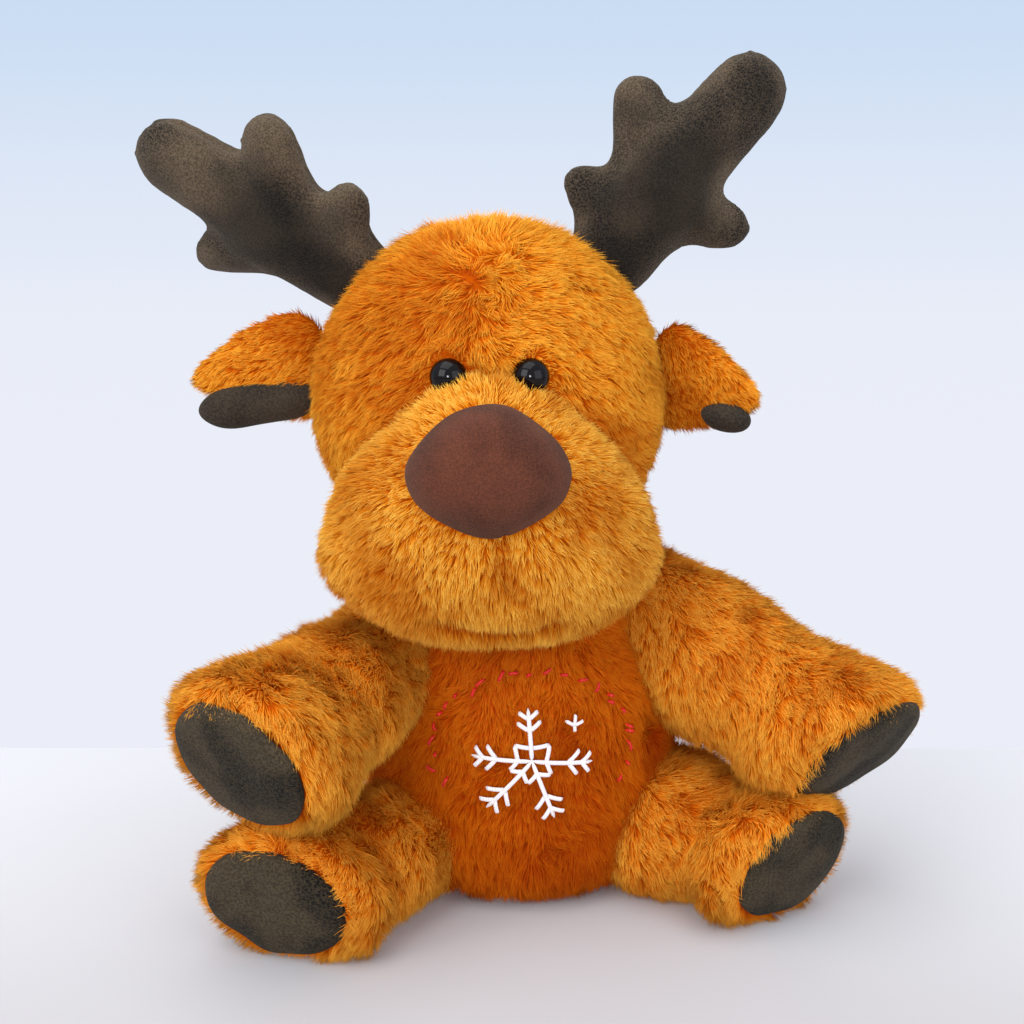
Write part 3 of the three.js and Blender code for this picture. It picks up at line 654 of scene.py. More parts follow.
def limb_profile(limb, inset):
    """Points (way along, radius): a quarter circle, a swelling curve, a rounded edge and a low crown."""
    ball, end, reach, edge = (limb[k] - inset for k in ("ball", "end", "reach", "round"))
    a = np.linspace(-np.pi / 2, 0, 14)
    t = np.linspace(0, 1, 26)[1:, None]
    bend = np.array([[0, ball], [reach * 0.3, ball], [reach * 0.4, end], [reach - edge, end]])
    curve = (1 - t) ** 3 * bend[0] + 3 * t * (1 - t) ** 2 * bend[1] + 3 * t**2 * (1 - t) * bend[2] + t**3 * bend[3]
    b = np.linspace(0, np.pi / 2, 10)[1:]
    corner = np.stack([reach - edge + edge * np.sin(b), end - edge + edge * np.cos(b)], -1)
    c = np.linspace(1, 0, 9)[1:]
    crown = np.stack([reach + CROWN * (1 - c**2), (end - edge) * c], -1)
    return np.concatenate([np.stack([ball * np.sin(a), ball * np.cos(a)], -1), curve, corner, crown])


def swell(limb, s):
    """Three bells along the axis: the root is full or slack, the wrist is thin and the paw is gathered."""
    t = s / limb["reach"]
    return limb["full"] * ridge(t - 0.24, 0.22) - 2.4 * ridge(t - 0.6, 0.14) + 2.6 * ridge(t - 0.86, 0.13)


print("points along an arm's profile:", len(limb_profile(ARM, 0.0)))


# %% Limb axes
def pad_of(name):
    """The CAD node of a limb's pad."""
    return f"{name.split('_')[0]}_{LIMBS[name]['cover']}"


def limb_axes(name):
    """The joint, the way along the limb, the way across it and the way up."""
    start = joint_at[f"{name}_swing"]
    along = unit(middle_of(pad_of(name)) - start)
    across = unit(np.cross([0, 0, 1.0], along))
    return start, along, across, np.cross(along, across)


def limb_shear(limb, s, x, z):
    """How far a point slides along the axis, so that the end leans by the tilt and the turn of its pad."""
    lean, turn = np.tan(np.radians([limb["tilt"], limb["turn"]]))
    return ease(s, limb["reach"] * 0.4, limb["reach"]) * (lean * z + turn * x)


def limb_points(name, s, radius, u):
    """Places a point of the profile: sheared along the axis, flattened upwards."""
    start, along, across, up = limb_axis[name]
    x, z = radius * np.cos(u), radius * np.sin(u)
    s = s + limb_shear(LIMBS[name], s, x, z)
    z = z * LIMBS[name]["flat"]
    return start + s[..., None] * along + x[..., None] * across + z[..., None] * up


limb_axis = {name: limb_axes(name) for name in LIMBS}
for name, axes in limb_axis.items():
    print(name, "points along", np.round(axes[1], 2))

# %% Limb skins
LIMB_INSET = 0.6
limb_grid = {}
for name, limb in LIMBS.items():
    profile = limb_profile(limb, LIMB_INSET)
    u = full_turn(64)
    radius = profile[:, 1:] + swell(limb, profile[:, :1]) * ease(profile[:, 1:], 0, 20)
    p = limb_points(name, profile[:, :1] + 0 * u, radius + 0 * u, u)
    limb_grid[name] = pinched(above_table(pushed(p, waves(p, 40, 51 + len(limb_grid)) * 0.9)))
    skin(f"{name}_skin", limb_grid[name], name, cloth_back, (f"{name}_cover", f"{name}_filling"))

# %% [markdown]
# A pad is a disc of velour, sewn in round its edge and pushed out a little by the stuffing. It could be cut from the
# limb's own skin, but a closed cushion with its own thickness shows the sewn edge and follows the limb's lean.

# %% Pads
PAD_OVERLAP, PAD_INNER, PAD_OUTER = 0.4, 3.0, 5.0
for name, limb in LIMBS.items():
    v = np.linspace(0, np.pi, 40)
    radius = (limb["pad"] + PAD_OVERLAP) * np.sin(v) ** 0.6
    bulge = np.where(v < np.pi / 2, -PAD_INNER * np.cos(v), -PAD_OUTER * np.cos(v))
    s = (limb["reach"] - LIMB_INSET + bulge)[:, None]
    u = full_turn(72)
    p = limb_points(name, s + 0 * u, radius[:, None] + 0 * u, u)
    p = pinched(above_table(pushed(p, waves(p, 22, 61) * 0.5)))
    skin(f"{name}_pad", p, name, pad_velour, (pad_of(name),))

# %% [markdown]
# ## Ears and tail
#
# An ear is a leaf of plush, hollowed to the front, with a strip of velour rolled along its lower edge. A folded sheet
# would do, but a stuffed leaf has thickness. A sphere stretched along the ear gives the leaf, and the same rule with
# other numbers gives the lining. The tail is a short drop.

# %% Ear leaf
EAR_WIDTH, EAR_THICK = 34.0, 12.0
EAR_LENGTH = {"left": 38.0, "right": 44.0}
EAR_SWEEP = {"left": 34.0, "right": -4.0}
EAR_DROOP = {"left": 10.0, "right": 8.0}
EAR_LOWER = {"left": 3.5, "right": 0.0}
ROOT_SHARE = 0.76


def leaf(axes, side, width, thick, length, lower=0.0, forward=0.0, start=0.0, hollow=0.0, point=0.44):
    """A sphere drawn out along the ear from its start, narrowed by point towards the tip, hollowed to the front."""
    seat, out, face, up = axes
    g = globe(44, 56)[..., [2, 0, 1]]
    far = start + (g[..., 0] + ROOT_SHARE) / (1 + ROOT_SHARE) * (1 - start)
    taper = (1 + 0.36 * ease(-far, -0.4, 0)) * (1 - point * ease(far, 0.25, 1))
    x = far * length
    y = g[..., 1] * thick / 2 - side * forward + side * hollow * (1 - g[..., 2] ** 2) * ease(far, 0.1, 0.5)
    z = g[..., 2] * taper * width / 2 - lower
    return pinched(seat + x[..., None] * out + y[..., None] * face + z[..., None] * up)


def ear_frame(side, sign):
    """The ear's joint, the way out by its droop and sweep, the way its face looks and the way up."""
    droop, sweep = np.radians(EAR_DROOP[side]), np.radians(-sign * EAR_SWEEP[side])
    flat_reach = sign * np.cos(droop)
    out = np.array([flat_reach * np.cos(sweep), flat_reach * np.sin(sweep), -np.sin(droop)])
    face = unit(np.cross(joint_axis[f"{side}_ear_fold"], out))
    return joint_at[f"{side}_ear_fold"], out, face, np.cross(out, face)


ear_axes = {side: ear_frame(side, sign) for side, sign in SIDES.items()}
for side, axes in ear_axes.items():
    print(side, "ear points along", np.round(axes[1], 2))

# %% Ears and their linings
LINING_WIDTH = {"left": 8.0, "right": 13.5}
LINING_START = {"left": 0.58, "right": 0.12}
LINING_FORWARD, LINING_POINT = 3.0, -0.3
ear_grid = {}
for side, sign in SIDES.items():
    ear_grid[side] = leaf(ear_axes[side], sign, EAR_WIDTH - 1, EAR_THICK - 2, EAR_LENGTH[side] - 1,
                          EAR_LOWER[side], hollow=0.8)
    skin(f"{side}_ear_leaf", ear_grid[side], f"{side}_ear", cloth_back, (f"{side}_ear_back",))
    lower = EAR_WIDTH / 2 - LINING_WIDTH[side] * 0.4 - 2 * EAR_LOWER[side] / 3
    lining = leaf(ear_axes[side], sign, LINING_WIDTH[side], EAR_THICK + 1, EAR_LENGTH[side], lower,
                  LINING_FORWARD, LINING_START[side], point=LINING_POINT)
    lining = pushed(lining, waves(lining, 18, 71) * 0.5)
    skin(f"{side}_ear_roll", lining, f"{side}_ear", lining_velour, (f"{side}_ear_lining",))

# %% Tail
TAIL_ROOT = joint_at["tail_wag"]
TAIL_RISE = np.tan(np.radians(35))
TAIL_MIDDLE, TAIL_HALF = 14, 19.5
tail_far = middle_of("tail") - TAIL_ROOT
tail_out = unit(np.array([tail_far[0], tail_far[1], np.hypot(tail_far[0], tail_far[1]) * TAIL_RISE]))
tail_side = unit(np.cross(tail_out, [0, 0, 1.0]))
g = globe(40, 48)
reach = TAIL_MIDDLE + TAIL_HALF * g[..., 2]
girth = 6.0 + 3.0 * ease(reach, -4, 22)
tail = (TAIL_ROOT + reach[..., None] * tail_out + (g[..., 0] * girth)[..., None] * tail_side
        + (g[..., 1] * girth)[..., None] * np.cross(tail_out, tail_side))
skin("tail_skin", tail, "tail", cloth_back, ("tail",))

# %% [markdown]
# ## Antlers
#
# Two flat panels of velour are sewn together round their edge and stuffed hard, so each tine is a blown-up tube with
# a seam along its rim. Cloth simulation is made for this: a copy of the CAD solid is remeshed to an even net, swollen
# by inner pressure, and then relaxed. The seam is too narrow for the net, so it is pressed in afterwards, where the
# skin crosses the antler's middle plane.


# %% Even net
def bake_modifiers(obj):
    """Puts the result of the modifiers into the mesh and takes them off."""
    shaped = bpy.data.meshes.new_from_object(obj.evaluated_get(bpy.context.evaluated_depsgraph_get()))
    obj.modifiers.clear()
    obj.data = shaped


def evened(source, name, voxel):
    """A copy of a CAD node: its loose corners merged, its surface remeshed to an even net and smoothed."""
    mesh = source.data.copy()
    obj = put(name, mesh)
    work = bmesh.new()
    work.from_mesh(mesh)
    bmesh.ops.remove_doubles(work, verts=work.verts, dist=2e-6)
    work.to_mesh(mesh)
    work.free()
    remesh = obj.modifiers.new("net", "REMESH")
    remesh.mode, remesh.voxel_size = "VOXEL", voxel
    relax = obj.modifiers.new("relax", "SMOOTH")
    relax.factor, relax.iterations = 0.5, 24
    bake_modifiers(obj)
    return obj


print("corners of an antler in the CAD model:", len(frame["nodes"]["left_antler"].data.vertices))


# %% Inner pressure
def numbers_of(items, key):
    """Three numbers for each item of a mesh, as an array of rows."""
    flat = np.empty(len(items) * 3, np.float32)
    items.foreach_get(key, flat)
    return flat.reshape(-1, 3).astype(float)


def swollen(obj, pressure, cap, frames=20):
    """Cloth with inner pressure over some frames; no point moves further than cap."""
    before = numbers_of(obj.data.vertices, "co") / MM
    scene = bpy.context.scene
    cloth = obj.modifiers.new("stuffing", "CLOTH")
    cloth.settings.use_pressure = True
    cloth.settings.uniform_pressure_force = pressure
    cloth.settings.effector_weights.gravity = 0
    cloth.point_cache.frame_start, cloth.point_cache.frame_end = 1, frames
    for step in range(1, frames + 1):
        scene.frame_set(step)
    bake_modifiers(obj)
    scene.frame_set(1)
    move = numbers_of(obj.data.vertices, "co") / MM - before
    far = np.linalg.norm(move, axis=1, keepdims=True)
    set_points(obj.data, before + move * np.minimum(1, cap / np.maximum(far, 1e-9)))
    obj.data.update()
    print(f"{obj.name}: swelled by up to {min(float(far.max()), cap):.1f} mm")


print("simulate the stuffing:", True)

# %% Stuffed antlers
NET, PRESSURE, MOST_SWELL = 0.0026, 4.0, 1.6
STUFFING, PUCKER = 1.3, 0.12


def middle_plane(p):
    """The plane through the points that they are flattest across: their mean and the axis of least spread."""
    centre = p.mean(0)
    return centre, np.linalg.svd(p - centre, full_matrices=False)[2][2]


def stuffed_antler(side):
    """The swollen net, pushed out by the stuffing except along its rim, with puckers there; lighter near the rim,
    as wear and a painted rim light, and darker on the middle of the broad sides.
    """
    obj = evened(frame["nodes"][f"{side}_antler"], f"{side}_antler_stuffed", NET)
    swollen(obj, PRESSURE, MOST_SWELL)
    finer = obj.modifiers.new("finer", "SUBSURF")
    finer.levels = finer.render_levels = 1
    bake_modifiers(obj)
    p = numbers_of(obj.data.vertices, "co") / MM
    normal = numbers_of(obj.data.vertex_normals, "vector")
    centre, across = middle_plane(p)
    height = (p - centre) @ across + 0.8 * waves(p, 60, 81)
    rim = ridge(height, 1.1) * ease(-np.abs(normal @ across), -0.75, -0.35)
    pucker = waves(p, 9, 82) * ridge(height, 6.0) * PUCKER
    p = p + normal * (STUFFING + pucker - STUFFING * rim)[:, None]
    set_points(obj.data, p)
    smooth(obj.data)
    obj.data.materials.clear()
    obj.data.materials.append(antler_velour)
    # Painted rim light and wear in one number: the light patches grow towards the seam rim and fade on the middle of
    # the broad sides.
    inner = np.abs(height) / np.abs(height).max() + 0.25 * waves(p, 34, 83)
    mark(obj.data, "wear_and_rim_light", 0.24 + 0.8 * ease(-inner, -0.95, -0.3))
    obj.data.update()
    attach(obj, f"{side}_antler")
    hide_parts(f"{side}_antler")
    print(f"{obj.name}: {len(obj.data.polygons)} faces")


for side in SIDES:
    stuffed_antler(side)

# %% [markdown]
# ## Pile
#
# Long plush is hundreds of thousands of fibres that lean one way and gather into locks. Blender's hair would be the
# usual tool, but a part that leaves Blender needs real faces. So each fibre is a thin spike of three triangles. Its
# root is sown on the skin's grid, its lean follows a combing direction, and the tips are drawn to the middle of their
# lock.

# %% Sowing
PILE_DENSITY = 3.0


def sow(grid, density, seed):
    """Random roots on a grid's quads, as many on each as its area asks, with the normal there."""
    r = np.random.default_rng(seed)
    normal = grid_normals(grid)
    corner = [(grid[:-1], normal[:-1]), (np.roll(grid, -1, 1)[:-1], np.roll(normal, -1, 1)[:-1]),
              (np.roll(grid, -1, 1)[1:], np.roll(normal, -1, 1)[1:]), (grid[1:], normal[1:])]
    a, b, c, d = (x[0].reshape(-1, 3) for x in corner)
    area = 0.5 * np.linalg.norm(np.cross(c - a, d - b), axis=1)
    count = int(area.sum() * density)
    quad = r.choice(len(area), count, p=area / area.sum())
    s, t = r.random((2, count, 1))
    weights = [(1 - s) * (1 - t), s * (1 - t), s * t, (1 - s) * t]
    roots = sum(w * x[0].reshape(-1, 3)[quad] for w, x in zip(weights, corner))
    return roots, unit(sum(w * x[1].reshape(-1, 3)[quad] for w, x in zip(weights, corner)))


print("roots sown on the whole torso:", len(sow(torso, PILE_DENSITY, 101)[0]))

# %% Locks and swirls
SCATTER = np.array([[12.9898, 78.233, 37.719], [39.346, 11.135, 83.155], [73.156, 52.235, 9.151],
                    [21.71, 63.41, 45.32]])


def scattered(cell, seed):
    """Four numbers from 0 to 1 for each lattice cell: the fraction of a large sine of its place."""
    return np.mod(np.sin(cell @ SCATTER.T + seed) * 43758.5453, 1)


def locks(p, size, seed):
    """The nearest of one scattered point per lattice cell: the way to it, and that point's own number from 0 to 1."""
    cell = np.floor(p / size)
    best, way, number = np.full(len(p), 1e9), np.zeros_like(p), np.zeros(len(p))
    for step in np.ndindex(3, 3, 3):
        here = cell + np.array(step) - 1
        random = scattered(here, seed)
        gap = (here + random[:, :3]) * size - p
        nearer = (gap**2).sum(1) < best
        best = np.where(nearer, (gap**2).sum(1), best)
        way[nearer], number[nearer] = gap[nearer], random[nearer, 3]
    return way, number


def swirl(p, size, seed):
    """A soft random direction at each point, from three waves of one size."""
    return np.stack([waves(p, size, seed + k) for k in range(3)], -1)


def flat_on(v, normal):
    """The part of v that lies in the skin."""
    return v - normal * dot(v, normal)


print("way from the origin to its lock:", np.round(locks(np.zeros((1, 3)), 6.5, 121)[0][0], 1), "mm")

# %% Fibres
FIBRE_WIDTH, BASE_SHARE, ROOT_DEPTH, FIBRE_SAG = 0.44, 0.58, 0.4, 0.2
TUFT_SHARE, LOCK_PULL, TUFT_PULL = 0.42, 0.16, 0.5
THIRDS = np.array([0, 2.0944, 4.1888])
SPIKE = np.array([[0, 1, 3], [1, 2, 3], [2, 0, 3]])


def fibres(roots, normal, comb, length, seed, lay=0.55, lock=6.5, tone=0.0):
    """Each fibre runs from its root along (1.05 - lay) n + lay c - sag z; its tip is drawn to its lock and tuft."""
    r = np.random.default_rng(seed)
    count = len(roots)
    to_lock, of_lock = locks(roots, lock, seed)
    to_tuft, of_tuft = locks(roots, lock * TUFT_SHARE, seed + 1)
    comb = unit(flat_on(comb, normal))
    swing = (0.5 * (of_lock - 0.5) + 0.6 * (of_tuft - 0.5) + 0.22 * r.normal(size=count))[:, None]
    comb = comb * np.cos(swing) + np.cross(normal, comb) * np.sin(swing)
    lie = lay + 0.16 * (of_lock - 0.5) + 0.16 * (of_tuft - 0.5) + 0.08 * r.normal(size=count)
    lie = np.clip(lie, 0.1, 0.9)[:, None]
    long = (length * r.uniform(0.74, 1.12, count) * (0.9 + 0.2 * of_lock))[:, None]
    way = unit((1.05 - lie) * normal + lie * comb - [0, 0, FIBRE_SAG])
    tip = roots + way * long + LOCK_PULL * flat_on(to_lock, normal) + TUFT_PULL * flat_on(to_tuft, normal)
    way = unit(tip - roots)
    above = unit(flat_on(normal, way) + 0.02)
    beside = np.cross(above, way)
    turn = r.uniform(0, 2.1, (count, 1, 1)) + THIRDS[None, :, None]
    ring = beside[:, None] * np.cos(turn) + above[:, None] * np.sin(turn)
    base = (roots - ROOT_DEPTH * normal)[:, None] + ring * FIBRE_WIDTH * BASE_SHARE
    points = above_table(np.concatenate([base, tip[:, None]], 1))
    shade = np.clip(0.5 + 0.36 * (of_lock - 0.5) + 0.28 * (of_tuft - 0.5) + 0.13 * r.normal(size=count)
                    + 0.36 * waves(roots, 30, seed) + tone, 0.02, 0.98)
    light = np.concatenate([unit(normal[:, None] + 0.22 * ring), unit(normal + 0.2 * above)[:, None]], 1)
    return points, shade, light


print("triangles for each fibre:", len(SPIKE))

# %% From fibres to a mesh
PIECE_LIMIT = 200_000


def pile(name, points, shade, light, body, finish):
    """Writes fibres as three-sided spikes, with the shade and the way along each; normals follow the skin."""
    count = len(points)
    faces = (np.arange(count)[:, None, None] * 4 + SPIKE).reshape(-1, 3)
    obj = piece(name, points.reshape(-1, 3), faces, body, finish)
    mesh = obj.data
    along = np.tile([0.0, 0.0, 0.0, 1.0], count).astype(np.float32)
    shades = np.repeat(shade, 4).astype(np.float32)
    mark(mesh, "shade", shades)
    mark(mesh, "along", along)
    edge = np.tile([-0.004, 0.0, 0.004, 0.0], count)
    spread = np.stack([shades + edge, 0.01 + 0.98 * along], -1)[faces.ravel()]
    mesh.uv_layers.new(name="OFBake").data.foreach_set("uv", spread.astype(np.float32).ravel())
    mesh.normals_split_custom_set_from_vertices(light.reshape(-1, 3).astype(np.float32))
    print(f"{name}: {count} fibres, {len(SPIKE) * count} triangles")
    return obj


print("fibres that one piece may hold:", PIECE_LIMIT // len(SPIKE))

# %% [markdown]
# Roots that would stand inside another form are left out, but only where they lie deep, so that a limb or the head
# can swing without showing bare cloth. A test against the meshes would be slow. The rules that made the forms also
# tell how deep a point lies, for all points at once.


# %% Depth in head and muzzle
def depth_in_egg(p, centre, half):
    """How deep points lie in an egg, in millimetres, negative outside: (1 - |p / half|) times the mean half size."""
    return (1 - np.linalg.norm((p - centre) / half, axis=-1)) * np.mean(half)


def depth_in_head(p):
    """The same for the head's egg."""
    return depth_in_egg(p, HEAD, HEAD_HALF)


def depth_in_muzzle(p):
    """The muzzle's rule, read backwards: height gives the width, and the rest is an egg."""
    q = (p - MUZZLE) / MUZZLE_HALF
    narrow = ease(q[..., 2], -0.55, 0.95)
    wide = 1 - narrow * (1 - MUZZLE_TOP / MUZZLE_HALF[0])
    rise = np.sign(q[..., 2]) * np.abs(q[..., 2]) ** np.where(q[..., 2] < 0, 1.22, 1.0)
    return (1 - np.sqrt((q[..., 0] / wide) ** 2 + q[..., 1] ** 2 + rise**2)) * MUZZLE_HALF[2]


def way_to_eye(p):
    """The distance to the nearer eye."""
    return np.min([np.linalg.norm(p - EYES[s], axis=1) for s in SIDES], axis=0)


print("the nose's middle lies", round(float(depth_in_muzzle(NOSE)), 1), "mm deep in the muzzle")


# %% Depth in torso and limbs
def depth_in_torso(p):
    """The torso's radius at a point's height less its way from the axis; well outside above and below the torso."""
    x, y = torso_middle(p[..., 2])
    across = np.hypot(p[..., 0] - x, (p[..., 1] - y) / TORSO_FLAT)
    return np.where((p[..., 2] > 0) & (p[..., 2] < NECK_TOP), torso_radius(p[..., 2]) - across, -9.0)


def depth_in_limb(p, name):
    """The limb's radius at a point's way along the axis less its way from the axis."""
    start, along, across, up = limb_axis[name]
    limb = LIMBS[name]
    s, x, z = (p - start) @ along, (p - start) @ across, (p - start) @ up / limb["flat"]
    profile = limb_profile(limb, 0.0)
    radius = np.interp(s, profile[:, 0], profile[:, 1], left=-9, right=-9)
    return radius - np.hypot(x, z)


def depth_in_limbs(p):
    """The largest of the depths in the four limbs."""
    return np.max([depth_in_limb(p, name) for name in limb_axis], axis=0)


print("the neck joint lies", round(float(depth_in_torso(NECK)), 1), "mm deep in the torso")

# %% [markdown]
# The torso's pile hangs down and is a little shorter round the embroidery, where the needle has drawn it in. Two
# sizes of swirl keep it from looking combed by a machine. It is one sowing in two pieces, so that neither grows too
# large.

# %% Pile of the torso
STITCH_MIDDLE = np.array([3.5, 59.6])
TORSO_PILE, DRAWN_IN = 6.4, 2.0
roots, normal = sow(torso, PILE_DENSITY, 101)
keep = ((roots[:, 2] > 1.2) & (depth_in_limbs(roots) < 6) & (depth_in_head(roots) < 9)
        & (depth_in_muzzle(roots) < 7))
roots, normal = roots[keep], normal[keep]
downward = np.stack([roots[:, 0] * 0.006, 0 * roots[:, 0], 0 * roots[:, 0] - 1], -1)
comb = downward + 0.6 * swirl(roots, 38, 111) + 0.7 * swirl(roots, 15, 114)
star_way = np.hypot(roots[:, 0] - STITCH_MIDDLE[0], roots[:, 2] - STITCH_MIDDLE[1])
worked = ease(-star_way, -36, -16) * (roots[:, 1] < 0)
# Painted light and shade: the pile is made lighter above the star's height, against the muzzle's shadow, and darker
# below it.
tone = 0.3 * np.tanh((roots[:, 2] - STITCH_MIDDLE[1]) / 25)
fur = fibres(roots, normal, comb, TORSO_PILE - DRAWN_IN * worked, 121, lay=0.58, lock=6.0, tone=tone)
front = roots[:, 1] < -2
pile("torso_pile_front", *(x[front] for x in fur), "torso", belly_plush)
pile("torso_pile_back", *(x[~front] for x in fur), "torso", belly_plush)

# %% [markdown]
# On the head the pile parts along the forehead seam and runs outwards and down, with one side brushed lighter than
# the other. It is short round the eyes and laid away from them. On the crown it is longer and combed to the back.

# %% Pile of the head
HEAD_PILE, ROUND_EYES, AT_FOLD, ON_CROWN = 5.8, 3.4, 1.2, 2.2
roots, normal = sow(head, PILE_DENSITY, 102)
eye_way = way_to_eye(roots)
keep = (depth_in_muzzle(roots) < 5) & (depth_in_torso(roots) < 8) & (eye_way > EYE_RADIUS - 1.0)
roots, normal, eye_way = roots[keep], normal[keep], eye_way[keep]
side = roots[:, 0] - HEAD[0]
forward = ease(-roots[:, 1], -30, 30)
crown = ease(roots[:, 2], HEAD[2] + 36, HEAD[2] + 58)
by_eye = ease(-eye_way, -11, -7)
comb = np.stack([np.tanh(side / 22) * (0.3 + 0.6 * forward), 0.35 * forward - 0.2 + 0.9 * crown,
                 -0.8 + 0.5 * crown], -1)
nearest = np.where((side > MIDDLE_OF_FACE - HEAD[0])[:, None], EYES["left"], EYES["right"])
comb = comb + 0.6 * swirl(roots, 40, 131) + 0.45 * swirl(roots, 12, 134)
comb = comb + 3.0 * by_eye[:, None] * unit(roots - nearest)
fold = ridge(depth_in_muzzle(roots) + 1, 6)
brushed = np.tanh(side / 9) * ease(roots[:, 2], HEAD[2] - 8, HEAD[2] + 10)
length = HEAD_PILE - ROUND_EYES * by_eye - 0.6 * parting(roots) - AT_FOLD * fold
# Painted shade and light: the pile is darker in the fold along the muzzle and lighter on the crown; one side of the
# forehead is brushed lighter.
tone = 0.42 * brushed - 0.5 * fold + 0.5 * crown
fur = fibres(roots, normal, comb, length + ON_CROWN * crown, 122, lay=0.64, tone=tone)
left = side > 0
pile("head_pile_left", *(x[left] for x in fur), "head", head_plush)
pile("head_pile_right", *(x[~left] for x in fur), "head", head_plush)

# %% [markdown]
# The muzzle's pile runs away from the nose on all sides and is palest in the middle. It is painted darker in the
# folds, as shade, and lighter along the head, as a highlight. On top it is laid back, and below the eyes it stands
# up, so that it overlaps them.

# %% Pile of the muzzle
MUZZLE_PILE, ROUND_NOSE, IN_FOLDS, UNDER_EYES = 5.8, 2.2, 1.4, 0.4
roots, normal = sow(muzzle, PILE_DENSITY * 1.1, 103)
nose_way = depth_in_egg(roots, NOSE, NOSE_HALF)
keep = ((depth_in_head(roots) < 5) & (depth_in_torso(roots) < 7) & (nose_way < 2)
        & (mouth_line(roots) < 0.72))
roots, normal, nose_way = roots[keep], normal[keep], nose_way[keep]
top = ease(roots[:, 2], NOSE[2] + 13, NOSE[2] + 23)[:, None]
comb = unit(roots - NOSE) + [0, 0.1, -0.28] + top * [0, 0.9, -0.7]
comb = comb + 0.4 * swirl(roots, 30, 141) + 0.3 * swirl(roots, 12, 144)
lash = ease(-way_to_eye(roots), -15, -9)
comb = comb + lash[:, None] * [0, 0, 1.5]
length = MUZZLE_PILE - ROUND_NOSE * ease(nose_way, -14, -1) - IN_FOLDS * mouth_line(roots) - UNDER_EYES * lash
rim = ridge(depth_in_head(roots) + 3, 8)
pale = ridge(roots[:, 0] - MUZZLE[0], 24) - 0.4
# Painted shade in the mouth fold and the crease, and a painted highlight on the muzzle's edge along the head.
fur = fibres(roots, normal, comb, length, 123, lay=0.6, tone=0.3 * pale - 0.7 * mouth_line(roots) + 0.2 * rim)
pile("muzzle_pile", *fur, "head", muzzle_plush)

# %% [markdown]
# On a limb the pile runs from the root to the paw and down, and flares outwards in a collar round the pad. A small
# whorl on top of the paw turns it away from there. None grows on the pad itself.

# %% Pile of the limbs
LIMB_PILE, AT_EDGE = 6.8, 0.4
for place, (name, axes) in enumerate(limb_axis.items()):
    limb = LIMBS[name]
    start, along, across, up = axes
    roots, normal = sow(limb_grid[name], PILE_DENSITY * 1.15, 104 + place)
    x, z = (roots - start) @ across, (roots - start) @ up / limb["flat"]
    s = (roots - start) @ along
    s = s - limb_shear(limb, s, x, z)
    collar = ease(s, limb["reach"] - 18, limb["reach"] - 4)
    outward = unit(x[:, None] * across + z[:, None] * up)
    on_pad = (np.hypot(x, z) < limb["pad"] - 1.0) & (s > limb["reach"] * 0.6)
    keep = ~on_pad & (depth_in_torso(roots) < 7) & (roots[:, 2] > 0.8)
    roots, normal, s, collar, outward = (v[keep] for v in (roots, normal, s, collar, outward))
    top = limb["pad"] + 6
    whorl = start + along * (limb["reach"] + limb_shear(limb, limb["reach"], 0, top)) + up * top * limb["flat"]
    near = 0.3 * ease(-np.linalg.norm(roots - whorl, axis=1), -26, -8)[:, None]
    comb = along + [0, 0, -0.35] + 0.5 * swirl(roots, 34, 151 + 6 * place) + 0.35 * swirl(roots, 13, 154 + 6 * place)
    comb = unit(comb) + 0.9 * collar[:, None] * outward
    comb = unit(comb) * (1 - near) + unit(roots - whorl) * near
    edge = ease(s, limb["reach"] - 30, limb["reach"] - 6)
    # The pile is lighter towards the paw, and the limb's tone adds painted light.
    fur = fibres(roots, normal, comb, LIMB_PILE - AT_EDGE * edge, 124 + place,
                 lay=0.62 + 0.2 * near[:, 0] - 0.1 * collar, lock=7.5, tone=limb["tone"] + 0.14 * edge)
    pile(f"{name}_pile", *fur, name, limb_plush)

# %% [markdown]
# The ears carry a shorter pile that runs to their tips, and the tail a longer one.

# %% Pile of the ears and the tail
EAR_PILE, TAIL_PILE = 4.2, 8.5
for side, (seat, out, *_) in ear_axes.items():
    roots, normal = sow(ear_grid[side], PILE_DENSITY * 1.2, 110)
    keep = depth_in_head(roots) < 6
    way = (roots - seat) @ out / EAR_LENGTH[side]
    comb = out + [0, 0, -0.2] + 0.4 * swirl(roots, 20, 181)
    fur = fibres(roots[keep], normal[keep], comb[keep], EAR_PILE, 130, lay=0.66, lock=4.5,
                 tone=0.5 * ease(way[keep], 0.1, 0.9) - 0.3)
    pile(f"{side}_ear_pile", *fur, f"{side}_ear", head_plush)
roots, normal = sow(tail, PILE_DENSITY, 111)
keep = depth_in_torso(roots) < 6
comb = tail_out + 0.4 * swirl(roots, 20, 191)
fur = fibres(roots[keep], normal[keep], comb[keep], TAIL_PILE, 131)
pile("tail_pile", *fur, "tail", limb_plush)

# %% [markdown]
# ## Embroidery
#
# A frost star in white thread is sewn on the belly, with a small one beside it and an arc of red running stitches
# half sunk in the pile. A picture on the cloth would lie flat. Each stroke is a flat tube instead, carried along a
# short path that dives into the pile at both ends.

# %% Stitches
STEPS, RING = 14, 10


def belly_point(x, z, out):
    """The place on the torso's front at this height and side, and out in front of it."""
    middle_x, middle_y = torso_middle(z)
    radius = torso_radius(z)
    y = middle_y - TORSO_FLAT * np.sqrt(np.clip(radius**2 - (x - middle_x) ** 2, 0, None))
    away = unit(np.stack([x - middle_x, (y - middle_y) / TORSO_FLAT**2, 0.35 * (z - BELLY)], -1))
    return np.stack([x, y, z], -1) + away * out, away


